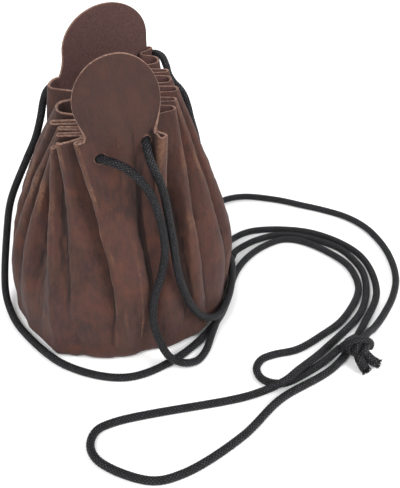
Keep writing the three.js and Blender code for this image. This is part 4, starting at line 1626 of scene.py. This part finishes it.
    def shell(self) -> tuple[np.ndarray, list, dict[str, np.ndarray]]:
        """Gives the hide its two faces and its cut edge.

        Returns:
            Points in metres, faces, and the values of the attributes fold, inside and cut.
        """
        points, at = self.grid()
        faces = self.quads(at)
        points = self.handled(points, self.normals(points, faces))
        ways = self.normals(points, faces)
        ways[at[: self.base_rings + 1].ravel()] = (0.0, 0.0, -1.0)
        fold = self.sharpness(points, at, ways)
        count, columns = len(points), self.columns
        half = self.thickness / 2

        edge, below = at[-1], at[-2].copy()
        bare = edge == below
        below[bare] = at[-self.tab_rows - 2][bare]
        rise = points[edge] - points[below]
        rise /= np.linalg.norm(rise, axis=1)[:, None]
        strips = [points[edge] + ways[edge] * half * share + rise * lift for share, lift in self.lip]
        hub = np.array([[*BASE_RING[1:3], 0.0], [*BASE_RING[1:3], self.thickness]])
        all_points = np.vstack([points + ways * half, points - ways * half, *strips, hub])
        under = 2 * count + len(strips) * columns
        over = under + 1

        corners = [faces, faces[:, ::-1] + count]
        lines = [edge, *(2 * count + i * columns + np.arange(columns) for i in range(len(strips))),
                 edge + count]
        for low, high in zip(lines[:-1], lines[1:]):
            corners.append(np.stack([low, np.roll(low, -1), np.roll(high, -1), high], axis=1))
        walls = [list(dict.fromkeys(face)) for face in np.vstack(corners).tolist()]
        pairs = list(zip(at[0].tolist(), np.roll(at[0], -1).tolist()))
        fans = [(under, b, a) for a, b in pairs] + [(over, a + count, b + count) for a, b in pairs]

        cut, inside = np.zeros(len(all_points)), np.zeros(len(all_points))
        cut[2 * count: under] = 1.0
        inside[count: 2 * count] = inside[over] = 1.0
        folds = np.concatenate([fold, -fold, np.tile(fold[edge], len(strips)), [0.0, 0.0]])
        all_points[:, 0] -= CENTRE_X
        return all_points * MM, walls + fans, {"fold": folds, "inside": inside, "cut": cut}

    def pierce(self, hide: bpy.types.Object) -> None:
        """Cuts the holes that the cord goes through.

        Args:
            hide: The hide's piece.
        """
        cutter = TubeMesh()
        plain = Braid(radius=self.hole_radius * MM, relief=0.0, sides=20, step=self.hole_step * MM)
        for line in threaded_lines():
            plain.tube(cutter, line, tip=0.0)
        mesh = bpy.data.meshes.new("hole_cutter")
        mesh.from_pydata(np.vstack(cutter.points).tolist(), [], cutter.faces)
        punch = bpy.data.objects.new("hole_cutter", mesh)
        bpy.context.scene.collection.objects.link(punch)
        bpy.ops.object.select_all(action="DESELECT")
        bpy.context.view_layer.objects.active = hide
        hide.select_set(True)
        holes = hide.modifiers.new("holes", "BOOLEAN")
        holes.operation = "DIFFERENCE"
        holes.solver = "EXACT"
        holes.object = punch
        bpy.ops.object.modifier_apply(modifier=holes.name)
        bpy.data.objects.remove(punch)

    def bare_holes(self, hide: bpy.types.Object) -> None:
        """Marks the rims of the holes as cut.

        Args:
            hide: The pierced hide.
        """
        mesh = hide.data
        places = np.empty(len(mesh.vertices) * 3)
        mesh.vertices.foreach_get("co", places)
        places = places.reshape(-1, 3)
        cut = np.empty(len(places), np.float32)
        mesh.attributes["cut"].data.foreach_get("value", cut)
        bare = (self.hole_radius + self.bare_ring) * MM
        for line in threaded_lines():
            line = evenly(line, self.bare_step * MM)
            low, high = line.min(axis=0) - bare, line.max(axis=0) + bare
            near = np.where(((places > low) & (places < high)).all(axis=1))[0]
            gap = np.linalg.norm(places[near][:, None] - line[None], axis=2).min(axis=1)
            cut[near[gap < bare]] = 1.0
        mesh.attributes["cut"].data.foreach_set("value", cut)

    def build(self, material: bpy.types.Material) -> bpy.types.Object:
        """Builds the hide in place of its frame node.

        Args:
            material: Its finish.

        Returns:
            The piece.
        """
        points, faces, marks = self.shell()
        hide = add_piece("gathered_hide", points, faces)
        for name, values in marks.items():
            float_attribute(hide, name, values)
        self.pierce(hide)
        self.bare_holes(hide)
        bpy.ops.object.shade_smooth_by_angle(angle=math.radians(self.smooth_angle))
        hide.data.materials.clear()
        hide.data.materials.append(material)
        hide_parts("leather_body")
        report_piece(hide)
        return hide


# -------------------------------------------------------------------------------- the pouch


def main() -> None:
    """Builds the studio, the drawcord and the hide."""
    logging.basicConfig(level=logging.INFO, format="%(name)s %(message)s")
    Studio().build()
    flecks = make_flecks()
    grain = make_grain()
    Drawcord().build(BraidFinish().build(flecks, grain))
    Hide().build(NubuckFinish().build(flecks, grain))


if __name__ == "__main__":
    main()
